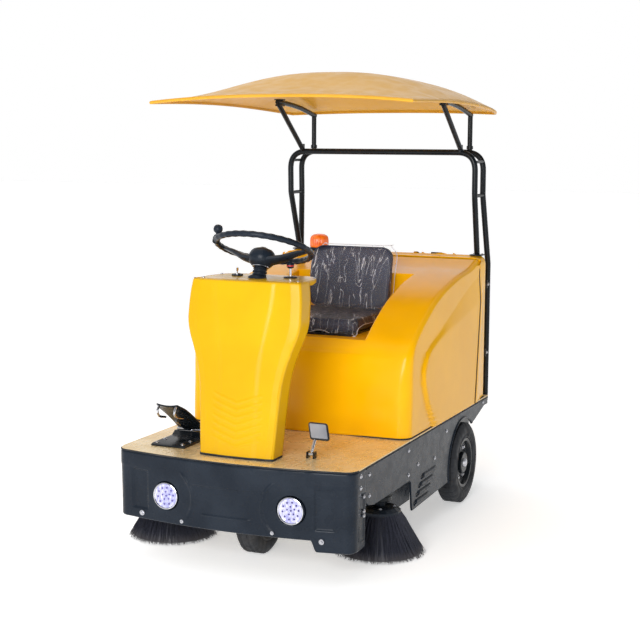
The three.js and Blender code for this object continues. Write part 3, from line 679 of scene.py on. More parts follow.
def beyond_crease(y, z):
    """Signed distance to the crease: positive in front of it and above it, outside the panel."""
    nearest = min(range(len(CREASE) - 1), key=lambda i: (CREASE[i].x - y) ** 2
                  + (CREASE[i].y - z) ** 2)
    a, b = CREASE[max(nearest - 1, 0)], CREASE[nearest + 1]
    run = (b - a).normalized()
    off = Vector((y - CREASE[nearest].x, z - CREASE[nearest].y))
    return run.x * off.y - run.y * off.x


def side_relief(y, z):
    """The raised panel behind the crease, whose edge widens into a facet towards the rear."""
    width = 0.011 + 0.105 * ease(y, 0.86, 1.60)
    distance = beyond_crease(y, z)
    return RAISED * clamp(1 - distance / width) if distance > 0 else RAISED


def make_body():
    outline = [Vector((p.x, p.y)) for p in through([(y, z, 0) for y, z in BODY_SIDE], 120)]
    strip = []
    wall = []
    for p, inward in zip(outline, right_hand(outline)):
        radius = lerp(0.055, 0.026, ease(p.y, 0.62, 0.90))
        turn_end = lerp(90, 74, ease(p.y, 0.60, 0.86))
        deep = p.y - RECESS_FLOOR
        sunk = [1.0] if p.x < RECESS_REAR and deep > 0 else [0.0]
        if abs(p.x - RECESS_REAR) < 0.008:
            sunk = [1.0, 0.97, 0.8, 0.6, 0.4, 0.2, 0.03, 0.0]
        for share in sunk:
            strip.append(body_strip(p, radius, max(deep, 0) * share))
        wall.append(body_wall(p, inward, radius, turn_end))
    shape = merge([grid(strip), grid(wall), grid(wall).mirrored()])
    piece("body_shell", shape, BODY_YELLOW, stands_for=["main_body"],
          thick=WALL, angle=24)
    make_body_trim()


def body_strip(p, radius, depth):
    """The front or top of the body at one station, across the machine, with the seat recess."""
    edge = BODY_HALF_WIDTH - radius
    lip = 0.014
    reach = RECESS_HALF_WIDTH + lip
    half = [(x, 0.0) for x in spread(edge, reach + 0.02, 9)]
    for turn in spread(0, 90, 6):
        drop = lip * (1 - math.cos(math.radians(turn)))
        half.append((reach - lip * math.sin(math.radians(turn)), min(drop, depth)))
    rest = max(depth - lip, 0.0)
    half += [(RECESS_HALF_WIDTH - 0.004 * t, min(lip, depth) + rest * t)
             for t in spread(0.12, 1, 8)]
    half += [(x, depth) for x in spread(RECESS_HALF_WIDTH - 0.012, 0.0, 8)]
    bow = 0.004 if p.y < 0.80 else 0.0
    row = [Vector((x, p.x - bow * (1 - (x / edge) ** 2), p.y - drop)) for x, drop in half]
    return [Vector((-v.x, v.y, v.z)) for v in row] + row[-2::-1]


def body_wall(p, inward, radius, turn_end):
    """The left side wall at one station: the rolled edge, then a line in to the foot or split."""
    end = math.radians(turn_end)
    row = []
    for turn in spread(0, 1, 9):
        angle = end * turn
        x = BODY_HALF_WIDTH - radius + radius * math.sin(angle) / math.sin(end)
        reach = radius * (1 - math.cos(angle))
        row.append(wall_point(p + inward * reach, x))
    start = p + inward * (radius * (1 - math.cos(end)))
    share = (p.y - BODY_BASE) / (BODY_TOP - BODY_BASE)
    foot_share = 0.55
    if share > foot_share:
        z = lerp(BODY_BASE, BODY_TOP, (share - foot_share) / (1 - foot_share))
        target = Vector((split_at(z), z))
    else:
        target = Vector((lerp(start.x, SPLIT_FOOT, ease(share / foot_share)), BODY_BASE))
    for t in spread(0, 1, 96)[1:]:
        row.append(wall_point(start.lerp(target, t), BODY_HALF_WIDTH))
    return row


def wall_point(at, x):
    grow = side_relief(at.x, at.y) * ease(x, BODY_HALF_WIDTH - 0.02, BODY_HALF_WIDTH)
    y = min(at.x, split_at(at.y))
    return Vector((x + grow, y, max(at.y, BODY_BASE)))


def make_body_trim():
    """Dark seams: under the body's foot, and in the gap between the body and the rear cover."""
    around = body_plan(0.001)
    foot = sweep([(x, y, DECK_TOP + 0.0015) for x, y in around], 0.0042, 8, closed=True)
    piece("body_foot_seal", foot, SEAL)
    across = []
    for side in (1, -1):
        climb = [(side * (BODY_HALF_WIDTH + side_relief(split_at(z), z) - 0.004),
                  split_at(z) + 0.0035, z) for z in spread(BODY_BASE, 1.085, 40)]
        across += climb if side > 0 else climb[::-1]
        if side > 0:
            across += [(BODY_HALF_WIDTH - 0.020, 1.617, 1.118),
                       (BODY_HALF_WIDTH - 0.060, 1.620, 1.129),
                       (-BODY_HALF_WIDTH + 0.060, 1.620, 1.129),
                       (-BODY_HALF_WIDTH + 0.020, 1.617, 1.118)]
    piece("split_seal", sweep(across, 0.0065, 8), SEAL)


def body_plan(distance):
    """Outline of the bodywork in plan, that far inside its faces."""
    x = BODY_HALF_WIDTH - distance
    front = 0.055 - distance
    rear = 0.075 - distance
    y0 = 0.617 + distance
    y1 = BODY_REAR - distance
    return (arc(x - front, y0 + front, front, 270, 360, 8)
            + arc(x - rear, y1 - rear, rear, 0, 90, 10)
            + arc(rear - x, y1 - rear, rear, 90, 180, 10)
            + arc(front - x, y0 + front, front, 180, 270, 8))


def make_rear_cover():
    rows = []
    gap = 0.007
    levels = [(z, 0.0) for z in spread(BODY_BASE, 1.105, 40)]
    roll = 0.036
    for turn in spread(0, 90, 9)[1:]:
        angle = math.radians(turn)
        levels.append((1.106 + roll * math.sin(angle), roll * (1 - math.cos(angle))))
    for z, inset in levels:
        radius = max(0.075 - inset, 0.02)
        x = BODY_HALF_WIDTH - inset
        y1 = BODY_REAR - inset
        start = min(split_at(z), 1.6165) + gap
        rise = 0.0 if z < 1.12 else 0.004
        relief = side_relief(start, z) if inset == 0 else 0.0
        flank = [(x + relief * ease(y, y1 - radius, start + 0.02), y, z)
                 for y in spread(start, y1 - radius, 10)]
        tail = (arc(x - radius, y1 - radius, radius, 0, 90, 10)[1:]
                + [(px, y1) for px in spread(x - radius, radius - x, 25)][1:-1]
                + arc(radius - x, y1 - radius, radius, 90, 180, 10))
        row = flank + [(px, py, z + rise) for px, py in tail]
        row += [(-px, y, pz) for px, y, pz in flank[::-1]][1:]
        rows.append([Vector(p) for p in row])
    top = rows[-1]
    for share in spread(0, 1, 14)[1:]:
        rows.append([Vector((p.x * (1 - share), p.y, p.z)) for p in top])
    cover = piece("rear_cover_shell", grid(rows), BODY_YELLOW, stands_for=["rear_cover"],
                  thick=WALL, angle=40)
    hole = piece("doorway_cutter", block(-0.380, 0.380, 1.74, 1.80, 0.500, 1.080), BODY_YELLOW)
    cut = cover.modifiers.new("doorway", "BOOLEAN")
    cut.operation = "DIFFERENCE"
    cut.object = hole
    cut.solver = "EXACT"
    bake(cover)
    bpy.data.objects.remove(hole)
    rim = sweep([(x, 1.7735, z) for x, z in rounded_outline(0.3795, 0.5005, 1.0795, 0.004, 3)],
                0.0032, 8, closed=True)
    piece("doorway_seal", rim, SEAL)
    make_tail_door()


def bake(obj):
    """Applies what the modifiers make, so that nothing depends on helper objects."""
    depsgraph = bpy.context.evaluated_depsgraph_get()
    mesh = bpy.data.meshes.new_from_object(obj.evaluated_get(depsgraph), depsgraph=depsgraph)
    obj.modifiers.clear()
    obj.data = mesh


def make_tail_door():
    """The tail door: a pressed panel with cooling slots, a pull handle, hinges and a latch."""
    half, low, high = 0.377, 0.503, 1.077

    def pressed(x, z):
        edge = min(half - abs(x), z - low, high - z)
        return 0.007 * ease(edge, 0.030, 0.050)
    panel = grid([[Vector((x, 1.7745 - pressed(x, z) + louvre(x, z), z))
                   for x in spread(-half, half, 90)] for z in spread(low, high, 96)])
    piece("tail_door_panel", panel, BODY_YELLOW, body="tail_door", stands_for=["tail_door"],
          thick=-WALL, angle=50)
    grip = sweep(bent([(0.308, 1.768, 0.742), (0.308, 1.790, 0.742), (0.308, 1.790, 0.858),
                       (0.308, 1.768, 0.858)], 0.012), 0.006, 14)
    piece("tail_door_handle", grip, CHROME, body="tail_door")
    latch = merge([lathe([(0, 0.012), (0.012, 0.012), (0.016, 0.008), (0.017, 0.0), (0, 0.0)],
                         (0.308, 1.767, 0.93), (0, 1, 0), 28),
                   block(0.3065, 0.3095, 1.777, 1.780, 0.920, 0.940)])
    piece("tail_door_latch", latch, SCREW, body="tail_door")
    knuckles = [sweep([(-0.379, 1.779, z - 0.030), (-0.379, 1.779, z + 0.030)], 0.0045, 14)
                for z in (0.60, 0.98)]
    piece("tail_door_hinges", merge(knuckles), SCREW, body="tail_door")


def louvre(x, z):
    """Two banks of six pressed cooling slots on the tail door."""
    low, high, pitch = 0.56, 0.72, 0.0267
    inner, outer = 0.04, 0.25
    if not low < z < high or not inner < abs(x) < outer:
        return 0.0
    step = ((z - low) / pitch) % 1
    ends = ease(min(abs(x) - inner, outer - abs(x)), 0.0, 0.02)
    return 0.009 * ends * max(0.0, 1 - step) * ease(step, 0.0, 0.18)


# ---- canopy ----
CANOPY_HALF_WIDTH = 0.592
CANOPY_FRONT = 0.420
CANOPY_LENGTH = 1.410


def canopy_point(u, v):
    half = CANOPY_HALF_WIDTH * (1 - 0.09 * v ** 6)
    y = CANOPY_FRONT + CANOPY_LENGTH * v - 0.070 * abs(u) ** 5 * v ** 8
    rim = 1.864 - 0.024 * v * v + 0.014 * math.sin(math.pi * v)
    along = 0.19 + 0.81 * ease(v, 0, 0.42)
    tail = 1 - ease(v, 0.7, 1.06) ** 1.2
    return Vector((u * half, y, rim + 0.130 * (1 - abs(u) ** 2.4) * along * tail))


def make_canopy():
    lip = 0.014
    rows = []
    for v in [-lip] + spread(0, 1, 90) + [1 + lip]:
        row = []
        for u in [-1 - lip] + spread(-1, 1, 84) + [1 + lip]:
            p = canopy_point(clamp(u, -1, 1), clamp(v))
            over = max(abs(u) - 1, -v, v - 1, 0)
            row.append(p - Vector((0, 0, over)))
        rows.append(row)
    piece("canopy_shell", grid(rows), CANOPY_YELLOW, stands_for=["canopy"],
          thick=WALL, angle=70)
    rim = [canopy_point(u, 0) for u in spread(-1, 1, 40)]
    rim += [canopy_point(1, v) for v in spread(0, 1, 60)][1:]
    rim += [canopy_point(u, 1) for u in spread(1, -1, 40)][1:]
    rim += [canopy_point(-1, v) for v in spread(1, 0, 60)][1:-1]
    edge = sweep([p - Vector((0, 0, 0.0075)) for p in rim], 0.0065, 8, closed=True, up=(0, 0, 1))
    piece("canopy_rim", edge, CANOPY_YELLOW)


def make_hoops():
    def hoop(y, foot):
        half = [Vector(p) for p in foot] + [Vector((0.484, y + 0.005, 1.440)),
                                            Vector((0.485, y, 1.645))]
        other = [Vector((-p.x, p.y, p.z)) for p in half][::-1]
        return sweep(bent(half + other, HOOP_BEND, 14), HOOP_TUBE, 20)
    front = [hoop(1.620, [(0.474, 1.716, 1.146)])]
    for side in (1, -1):
        foot = side * 0.474
        front.append(block(foot - 0.030, foot + 0.030, 1.690, 1.742, 1.1455, 1.1515))
    piece("hoop_front", merge(front), BLACK_PAINT, stands_for=["front_hoop"],
          angle=40)
    rear = [hoop(1.755, [(0.505, 1.800, 0.442), (0.505, 1.800, 1.100)])]
    for side in (1, -1):
        rear.append(sweep([(side * 0.484, 1.640, 1.438), (side * 0.486, 1.762, 1.438)], 0.009, 14))
        rear.append(sweep([(side * 0.4845, y, 1.600) for y in (1.636, 1.745)], 0.007, 14))
        for tab in (0.640, 0.980):
            rear.append(block(side * 0.505 - 0.007, side * 0.505 + 0.007, 1.770, 1.800,
                              tab, tab + 0.040))
        foot = side * 0.488
        rear.append(block(foot - 0.024, foot + 0.024, 1.782, 1.816, 0.4405, 0.447))
    piece("hoop_rear", merge(rear), BLACK_PAINT, stands_for=["rear_hoop"],
          angle=40)
    feet = []
    for side in (1, -1):
        for dx in (-0.020, 0.020):
            feet.append(bolt((side * 0.474 + dx, 1.735, 1.1515), (0, 0, 1), 0.0045))
        for z in (0.660, 1.000):
            feet.append(bolt((side * 0.5125, 1.785, z), (side, 0, 0), 0.0055))
    piece("hoop_bolts", merge(feet), SCREW)


def make_canopy_frame():
    for name, side in SIDES:
        x = side * STRUT_X
        path = through([(x, 1.315, 1.882), (x, 1.450, 1.874), (x, 1.600, 1.856),
                        (x, 1.765, 1.824)], 30)
        piece(f"canopy_rail_tube_{name}", sweep(path, 0.012, 16), BLACK_PAINT,
              stands_for=[f"canopy_rail_{name}"])
        post = merge([sweep([(x, 1.755, 1.655), (x, 1.755, 1.828)], 0.012, 18),
                      sweep([(x, 1.755, 1.660), (x, 1.755, 1.676)], 0.016, 18)])
        piece(f"canopy_post_tube_{name}", post, BLACK_PAINT, stands_for=[f"canopy_post_{name}"])
        strut = [sweep([(x, 1.618, 1.652), (x, 1.333, 1.868)], 0.012, 18)]
        strut.append(block(x - 0.015, x + 0.015, 1.322, 1.366, 1.862, 1.872))
        strut.append(block(x - 0.005, x + 0.005, 1.592, 1.628, 1.645, 1.682))
        piece(f"canopy_strut_tube_{name}", merge(strut), BLACK_PAINT,
              stands_for=[f"canopy_strut_{name}"])
        pad = block(x - 0.020, x + 0.020, 1.320, 1.364, 1.890, 1.896)
        piece(f"canopy_pad_{name}", pad, SEAL, bevel=0.0015)


# ---- deck, bumper, lamps and skirts ----
def front_edge(distance=0.0, bow_steps=40):
    """The deck's front edge in plan, that far inside: right corner, bow, left corner."""
    centre = DECK_HALF_WIDTH - CORNER_RADIUS
    radius = CORNER_RADIUS - distance
    bow = [(centre * s, distance - FRONT_BOW * (1 - s * s)) for s in spread(-1, 1, bow_steps)]
    return (arc(-centre, CORNER_RADIUS, radius, 180, 262, 10) + bow[1:-1]
            + arc(centre, CORNER_RADIUS, radius, 278, 360, 10))


def make_deck():
    rear_corner = DECK_HALF_WIDTH - 0.001
    outline = front_edge(0.001) + [(rear_corner, DECK_REAR), (-rear_corner, DECK_REAR)]
    sheet = prism(outline, DECK_TOP - 0.006, DECK_TOP - 0.0005)
    treads = []
    pitch = 0.0295
    for row in range(24):
        for column in range(-18, 19):
            x = column * pitch * 0.98
            y = -0.020 + row * pitch * 0.93
            front = -FRONT_BOW * (1 - min((x / 0.474) ** 2, 1))
            on_cowl = abs(x) < 0.168 and 0.028 < y < 0.150
            if y < front + 0.022 or y > 0.605 or abs(x) > 0.505 or on_cowl:
                continue
            treads.append(lozenge(x, y, 45 if (row + column) % 2 else -45))
    piece("deck_sheet", merge([sheet] + treads), TREAD_PLATE_PAINTED_REFLECTION, stands_for=["deck_plate"], angle=25)
    ears = merge([block(x, x + 0.005, 0.150, 0.180, DECK_TOP - 0.001, DECK_TOP + 0.026)
                  for x in (0.258, 0.287)])
    piece("brake_ears", ears, BLACK_PAINT, bevel=0.0012)
    for name, side in SIDES:
        x = side * (DECK_HALF_WIDTH + 0.0005)
        run = spread(0.055, DECK_REAR - 0.002, 30)
        strip = [(x, y, DECK_TOP - 0.0022) for y in run]
        piece(f"deck_edge_{name}", sweep(strip, 0.0028, 8), TREAD_PLATE_PAINTED_REFLECTION)
        seam = [(x - side * 0.001, y, DECK_TOP - 0.0075) for y in run]
        piece(f"deck_seam_{name}", sweep(seam, 0.003, 8), SEAL)
    front = [(x, y, DECK_TOP - 0.0045) for x, y in front_edge(0.0005)]
    piece("deck_seam_front", sweep(front, 0.0034, 8, up=(0, 0, 1)), SEAL)


def lozenge(x, y, turn):
    """One raised tread bar: a low pointed ridge lying on the sheet."""
    long_half, wide_half, high = 0.0125, 0.0045, 0.0010
    a = math.radians(turn)

    def spot(along, over, up):
        return (x + along * math.cos(a) - over * math.sin(a),
                y + along * math.sin(a) + over * math.cos(a), DECK_TOP - 0.0006 + up)

    def hexagon(tip, shoulder, width, up):
        return [spot(u * long_half, v * wide_half, up) for u, v in (
            (tip, 0), (shoulder, width), (-shoulder, width), (-tip, 0), (-shoulder, -width),
            (shoulder, -width))]
    ring = hexagon(1, 0.4, 1, 0)
    ridge = hexagon(0.62, 0.3, 0.45, high)
    faces = [(i, (i + 1) % 6, (i + 1) % 6 + 6, i + 6) for i in range(6)]
    return Shape(ring + ridge, faces + [tuple(range(6, 12)), tuple(range(5, -1, -1))])


BUMPER_TOP = 0.4404


def bumper_bottom(x):
    """Hangs to 165 mm; the left corner guard goes down to 120 mm with a round shoulder."""
    return lerp(0.165, 0.120, ease(x, 0.352, 0.376))


def bumper_relief(x, z):
    """Forward swell of the front: a crease under the deck, lamp wells, corner panels."""
    side_x, lamp_z = HEADLIGHT_PLACE
    over = 0.007 * ease(z, 0.336, 0.348) * ease(abs(x), 0.225, 0.110)
    lamp = math.hypot(abs(x) - side_x, z - lamp_z)
    well = -0.018 * ease(lamp, 0.0600, 0.0555)
    angle = math.degrees(math.atan2(z - lamp_z, side_x - abs(x)))
    arch = 0.004 * ease(0.009 - abs(lamp - 0.124), 0.0, 0.008) * ease(abs(angle), 62, 44)
    low = 0.004 * ease(0.006 - abs(z - 0.224), 0.0, 0.005) * ease(abs(x), 0.115, 0.095)
    inside = min(abs(x) - 0.366, 0.452 - abs(x), z - 0.205, 0.375 - z)
    panel = -0.006 * ease(inside, 0.0, 0.010)
    cap = 0.002 * ease(z, 0.372, 0.388) * ease(abs(x), 0.330, 0.365)
    return over + well + arch + low + panel + cap


def make_bumper():
    path = [Vector(p) for p in front_edge(0.0, 250)]
    sides = spread(0.130, CORNER_RADIUS, 12)
    left = [Vector((DECK_HALF_WIDTH, y)) for y in sides[::-1][1:]]
    right = [Vector((-DECK_HALF_WIDTH, y)) for y in sides[:-1]]
    path = right + path + left
    outs = right_hand(path)
    rows = []
    levels = spread(0, 1, 105)
    for share in levels:
        row = []
        for p, out in zip(path, outs):
            low = bumper_bottom(p.x)
            z = lerp(low, BUMPER_TOP, share)
            roll = 0.010
            edge = min(BUMPER_TOP - z, (z - low) * 1.2, roll)
            back = roll - math.sqrt(max(roll ** 2 - (roll - edge) ** 2, 0.0))
            lean = 0.004 * ease(z, 0.20, 0.40)
            swell = bumper_relief(p.x, z) if p.y < 0.03 else side_detail(p, z)
            spot = p + out * (swell - back * 0.8 - 0.002 + lean * 0.5)
            row.append(Vector((spot.x, spot.y, z)))
        rows.append(row)
    for inner in (0.010, 0.026):
        backs = [(p, p - out * (inner + 0.006)) for p, out in zip(path, outs)]
        rows.insert(0, [Vector((back.x, back.y, bumper_bottom(p.x) + 0.0005)) for p, back in backs])
    piece("bumper_skin", grid(rows), BLACK_PLASTIC, stands_for=["front_bumper"],
          thick=0.007, angle=50)
    heads = []
    for side in (1, -1):
        x = side * DECK_HALF_WIDTH
        heads += [bolt((x, 0.072, z), (side, 0, 0), 0.0060) for z in (0.418, 0.372)]
        heads += [bolt((x, 0.108, z), (side, 0, 0), 0.0050) for z in (0.272, 0.254, 0.330)]
        corner_z = 0.166 if side > 0 else 0.192
        heads.append(bolt((side * 0.398, -0.0165, corner_z), (0, -1, 0), 0.0070))
        heads.append(bolt((side * 0.200, -0.0435, 0.185), (0, -1, 0), 0.0050))
    piece("bumper_bolts", merge(heads), SCREW)


def side_detail(p, z):
    """The corner guard's side: a pressed pocket behind the corner."""
    inside = min(p.y - 0.062, 0.122 - p.y, z - bumper_bottom(p.x) - 0.030, 0.350 - z)
    return -0.004 * ease(inside, 0.0, 0.010) if p.y > 0.05 else 0.0


def make_headlights():
    lamp_x, lamp_z = HEADLIGHT_PLACE
    for name, side in SIDES:
        x = side * lamp_x
        face = -0.040
        place = (x, 0.0, lamp_z)
        ring = lathe([(0.030, 0.022), (0.0555, 0.002), (0.0560, face + 0.004), (0.0545, face),
                      (0.0515, face - 0.0015), (0.0490, face + 0.001), (0.0475, face + 0.010),
                      (0.030, face + 0.013)], place, (0, 1, 0), 64)
        piece(f"headlight_ring_{name}", ring, CHROME, stands_for=[f"headlight_housing_{name}"])
        dish = lathe([(0, face + 0.0085), (0.020, face + 0.0080), (0.036, face + 0.0060),
                      (0.0482, face + 0.0015), (0.0482, face + 0.012), (0, face + 0.0125)],
                     place, (0, 1, 0), 64)
        spots = [(0.0, 0.0)]
        for reach, first, count in ((0.0165, 25, 5), (0.0345, 8, 10)):
            for k in range(count):
                a = math.radians(first + 360 / count * k)
                spots.append((reach * math.cos(a), reach * math.sin(a)))
        cups = []
        chips = []
        for dx, dz in spots:
            at = (x + dx, 0.0, lamp_z + dz)
            back = face + 0.0085 - 0.0040 * ease(math.hypot(dx, dz), 0.01, 0.04)
            cups.append(lathe([(0.0078, back + 0.001), (0.0078, back - 0.0022),
                               (0.0066, back - 0.0034), (0.0048, back - 0.0022),
                               (0.0042, back + 0.0005)], at, (0, 1, 0), 20))
            chips.append(lathe([(0, back - 0.0030), (0.0022, back - 0.0026),
                                (0.0036, back - 0.0010), (0.0036, back + 0.001),
                                (0, back + 0.001)], at, (0, 1, 0), 12))
        piece(f"headlight_dish_{name}", merge([dish] + cups), LAMP_WHITE,
              stands_for=[f"headlight_lens_{name}"])
        piece(f"headlight_chips_{name}", merge(chips), LED_CHIP)


def skirt_outline():
    top, bottom = BUMPER_TOP, 0.130
    _, wheel_y, wheel_z = REAR_WHEEL
    start = 180 - math.degrees(math.asin((bottom - wheel_z) / FENDER))
    return ([(0.1305, top), (0.1305, 0.300), (0.160, 0.282), (0.215, 0.270), (0.640, 0.270),
             (0.654, 0.258), (0.668, 0.150), (0.676, bottom)]
            + arc(wheel_y, wheel_z, FENDER, start, 48, 40)[1:] + [(1.785, 0.420), (1.785, top)])


def make_side_skirts():
    _, wheel_y, wheel_z = REAR_WHEEL
    for name, side in SIDES:
        x = side * 0.519
        face = side * 0.5235
        plate = prism(skirt_outline(), x - 0.0045, x + 0.0045, "x")
        piece(f"skirt_{name}", plate, BLACK_PLASTIC, stands_for=[f"side_skirt_{name}"],
              bevel=0.0022, angle=30)
        lip = [(face, y, z) for y, z in arc(wheel_y, wheel_z, 0.2155, 194, 50, 60)]
        parts = [sweep(lip, 0.0050, 10)]
        for low in (0.150, 0.182, 0.214, 0.246):
            first = (face, 0.700 + (low - 0.150) * 0.95, low)
            bar = [first, (face, first[1] + 0.190, low + 0.002)]
            parts.append(sweep(bar, [0.0045, 0.0045], 10))
            hood = grid([[Vector((face + side * 0.0005, y, low + 0.020)) for y in
                          spread(first[1] + 0.012, first[1] + 0.180, 8)],
                         [Vector((face + side * 0.007, y, low + 0.004)) for y in
                          spread(first[1] + 0.004, first[1] + 0.186, 8)]])
            parts.append(hood)
        parts.append(sweep([(face, y, 0.4335) for y in (0.135, DECK_REAR)], 0.0035, 8))
        piece(f"skirt_detail_{name}", merge(parts), BLACK_PLASTIC,
              thick=0.0015)
        heads = [bolt((face, y, z), (side, 0, 0), 0.0055) for y, z in
                 ((0.165, 0.405), (0.165, 0.320), (0.620, 0.300), (0.620, 0.405), (0.740, 0.320),
                  (1.130, 0.390), (1.700, 0.425), (0.965, 0.300))]
        piece(f"skirt_bolts_{name}", merge(heads), SCREW)


# ---- wheels ----
def tyre(centre, direction, radius, half, bead, sides, blocks):
    """A solid tyre: rounded shoulders, side-wall rings, and tread grooves cut across."""
    profile = [(bead, -half + 0.004), (bead + 0.010, -half - 0.0005), (bead + 0.018, -half + 0.002),
               (bead + 0.024, -half - 0.001), (radius - 0.020, -half + 0.001),
               (radius - 0.010, -half + 0.006), (radius - 0.003, -half + 0.012)]
    flat = half - 0.014
    crown = [(radius, x) for x in spread(-flat, flat, 15)]
    other = [(r, -h) for r, h in profile[::-1]]
    rows = []
    turn = Matrix.Translation(Vector(centre)) @ frame_of(direction)
    for r, h in profile + crown + other:
        row = []
        for k, a in enumerate(turns(sides)):
            depth = 0.0
            if r > radius - 0.012:
                slant = h / half * 0.35
                phase = (k / sides * blocks + (slant if h > 0 else -slant)) % 1
                cut = ease(phase, 0.0, 0.10) * ease(1 - phase, 0.0, 0.10)
                depth = 0.0045 * (1 - cut)
            ring = 0.0040 if abs(abs(h) - half * 0.34) < half * 0.06 and r == radius else 0.0
            rr = r - max(depth, ring)
            row.append(turn @ Vector((rr * math.cos(a), rr * math.sin(a), h)))
        rows.append(row)
    rows.append([turn @ Vector((bead * math.cos(a), bead * math.sin(a), 0))
                 for a in turns(sides)])
    return grid(rows, around=True, along=True)


def make_wheels():
    front = tyre(FRONT_WHEEL, (1, 0, 0), 0.170, 0.045, 0.0984, 240, 30)
    piece("front_tyre_tread", front, TYRE, body="front_wheel", stands_for=["front_tyre"], angle=40)
    nuts = []
    for end in (1, -1):
        nuts += bolt_circle((end * 0.0202, *FRONT_WHEEL[1:]), (end, 0, 0), 0.060, 5, 0.0065)
    piece("front_wheel_bolts", merge(nuts), SCREW, body="front_wheel")
    for name, side in SIDES:
        x, y, z = REAR_WHEEL
        centre = (side * x, y, z)
        out = (side, 0, 0)
        piece(f"rear_tyre_tread_{name}", tyre(centre, out, 0.190, 0.048, 0.1184, 288, 34), TYRE,
              body=f"rear_wheel_{name}", stands_for=[f"rear_tyre_{name}"], angle=40)
        rim = lathe([(0.0158, -0.046), (0.050, -0.046), (0.050, -0.008), (0.096, 0.004),
                     (0.104, -0.040), (0.1165, -0.042), (0.1178, -0.038), (0.1178, 0.038),
                     (0.1165, 0.042), (0.113, 0.0425), (0.104, 0.0405), (0.100, 0.034),
                     (0.097, 0.024), (0.086, 0.0205), (0.060, 0.0195), (0.052, 0.023),
                     (0.050, 0.036), (0.046, 0.040), (0.0158, 0.040), (0.0158, -0.046)],
                    centre, out, 72)
        piece(f"rear_wheel_rim_{name}", rim, BLACK_PAINT, body=f"rear_wheel_{name}",
              stands_for=[f"rear_rim_{name}"], angle=30)
        nuts = bolt_circle((side * (x + 0.0200), y, z), out, 0.077, 6, 0.0080)
        cap = lathe([(0, 0.012), (0.012, 0.011), (0.020, 0.006), (0.022, 0.0), (0, 0.0)],
                    (side * (x + 0.040), y, z), out, 32)
        piece(f"rear_wheel_bolts_{name}", merge(nuts + [cap]), SCREW, body=f"rear_wheel_{name}")


# ---- brushes ----
def strand(path, thick, sides=3):
    return sweep(path, [thick * (1 - 0.5 * t) for t in spread(0, 1, len(path))], sides)


def make_side_brushes():
    draw = random.Random(7)
    for name, side in SIDES:
        brush_x, brush_y = SIDE_BRUSH[name]
        centre = Vector((side * brush_x, brush_y, 0))
        strands = []
        tufts = 46
        for ring_radius, foot_radius, lean in ((0.082, 0.186, 0.0), (0.070, 0.166, 0.5)):
            for tuft in range(tufts):
                base = 2 * math.pi * (tuft + lean) / tufts
                for _ in range(11):
                    a = base + draw.uniform(-0.035, 0.035)
                    r0 = ring_radius + draw.uniform(-0.005, 0.005)
                    r1 = foot_radius + draw.uniform(-0.014, 0.008)
                    twist = draw.uniform(-0.10, 0.10) + 0.06
                    path = []
                    for t in spread(0, 1, 6):
                        r = lerp(r0, r1, t ** 0.85) - 0.004 * math.sin(math.pi * t)
                        angle = a + twist * t * t
                        z = lerp(0.176, BRUSH_TIP + draw.uniform(0.0, 0.006) * t, t ** 1.06)
                        path.append(centre + Vector((r * math.cos(angle), r * math.sin(angle), z)))
                    strands.append(strand(path, 0.0016))
        skirt = lathe([(0.076, 0.172), (0.092, 0.150), (0.116, 0.105), (0.144, 0.060),
                       (0.168, 0.022), (0.172, 0.010), (0.160, 0.008), (0.130, 0.060),
                       (0.100, 0.110), (0.074, 0.160)], centre, sides=64)
        piece(f"side_brush_tufts_{name}", merge([skirt] + strands), BRISTLE,
              body=f"side_brush_{name}", stands_for=[f"side_brush_bristles_{name}"], angle=50)
        caps = [bolt(centre + Vector((0.058 * math.cos(a), 0.058 * math.sin(a), 0.1975)),
                     (0, 0, 1), 0.005) for a in (0.4, 1.97, 3.54, 5.11)]
        piece(f"side_brush_screws_{name}", merge(caps), SCREW, body=f"side_brush_{name}")
        motor = [lathe([(0.0485, z), (0.0505, z + 0.001), (0.0505, z + 0.004), (0.0485, z + 0.005)],
                       centre, sides=40) for z in spread(0.240, 0.296, 6)]
        piece(f"side_brush_fins_{name}", merge(motor), BLACK_PAINT, body=f"side_arm_{name}")


def make_main_brush():
    draw = random.Random(11)
    _, y, z = MAIN_BRUSH
    strands = []
    rows = 8
    for row in range(rows):
        for step in range(46):
            x = lerp(-0.340, 0.340, step / 45)
            base = 2 * math.pi * row / rows + 1.1 * abs(x) / 0.34
            for _ in range(7):
                a = base + draw.uniform(-0.07, 0.07)
                dx = draw.uniform(-0.007, 0.007)
                tip = 0.140 - draw.uniform(0.0, 0.003)
                sway = draw.uniform(-0.05, 0.05)
                path = [Vector((x + dx * t, y + lerp(0.045, tip, t) * math.cos(a + sway * t),
                                z + lerp(0.045, tip, t) * math.sin(a + sway * t)))
                        for t in (0.0, 0.5, 1.0)]
                strands.append(strand(path, 0.0014))
    core = lathe([(0.0466, -0.345), (0.060, -0.343), (0.062, -0.30), (0.062, 0.30),
                  (0.060, 0.343), (0.0466, 0.345)], MAIN_BRUSH, (1, 0, 0), 40)
    piece("main_brush_tufts", merge([core] + strands), BRISTLE, body="main_brush",
          stands_for=["main_brush_bristles"], angle=50)


# ---- steering ----
def on_wheel(radius, angle, height):
    """A point by the steering wheel: along its plane at an angle in degrees, and up its column."""
    across = Vector((1, 0, 0))
    back = COLUMN.cross(across)
    a = math.radians(angle)
    return WHEEL_CENTRE + (across * math.cos(a) + back * math.sin(a)) * radius + COLUMN * height


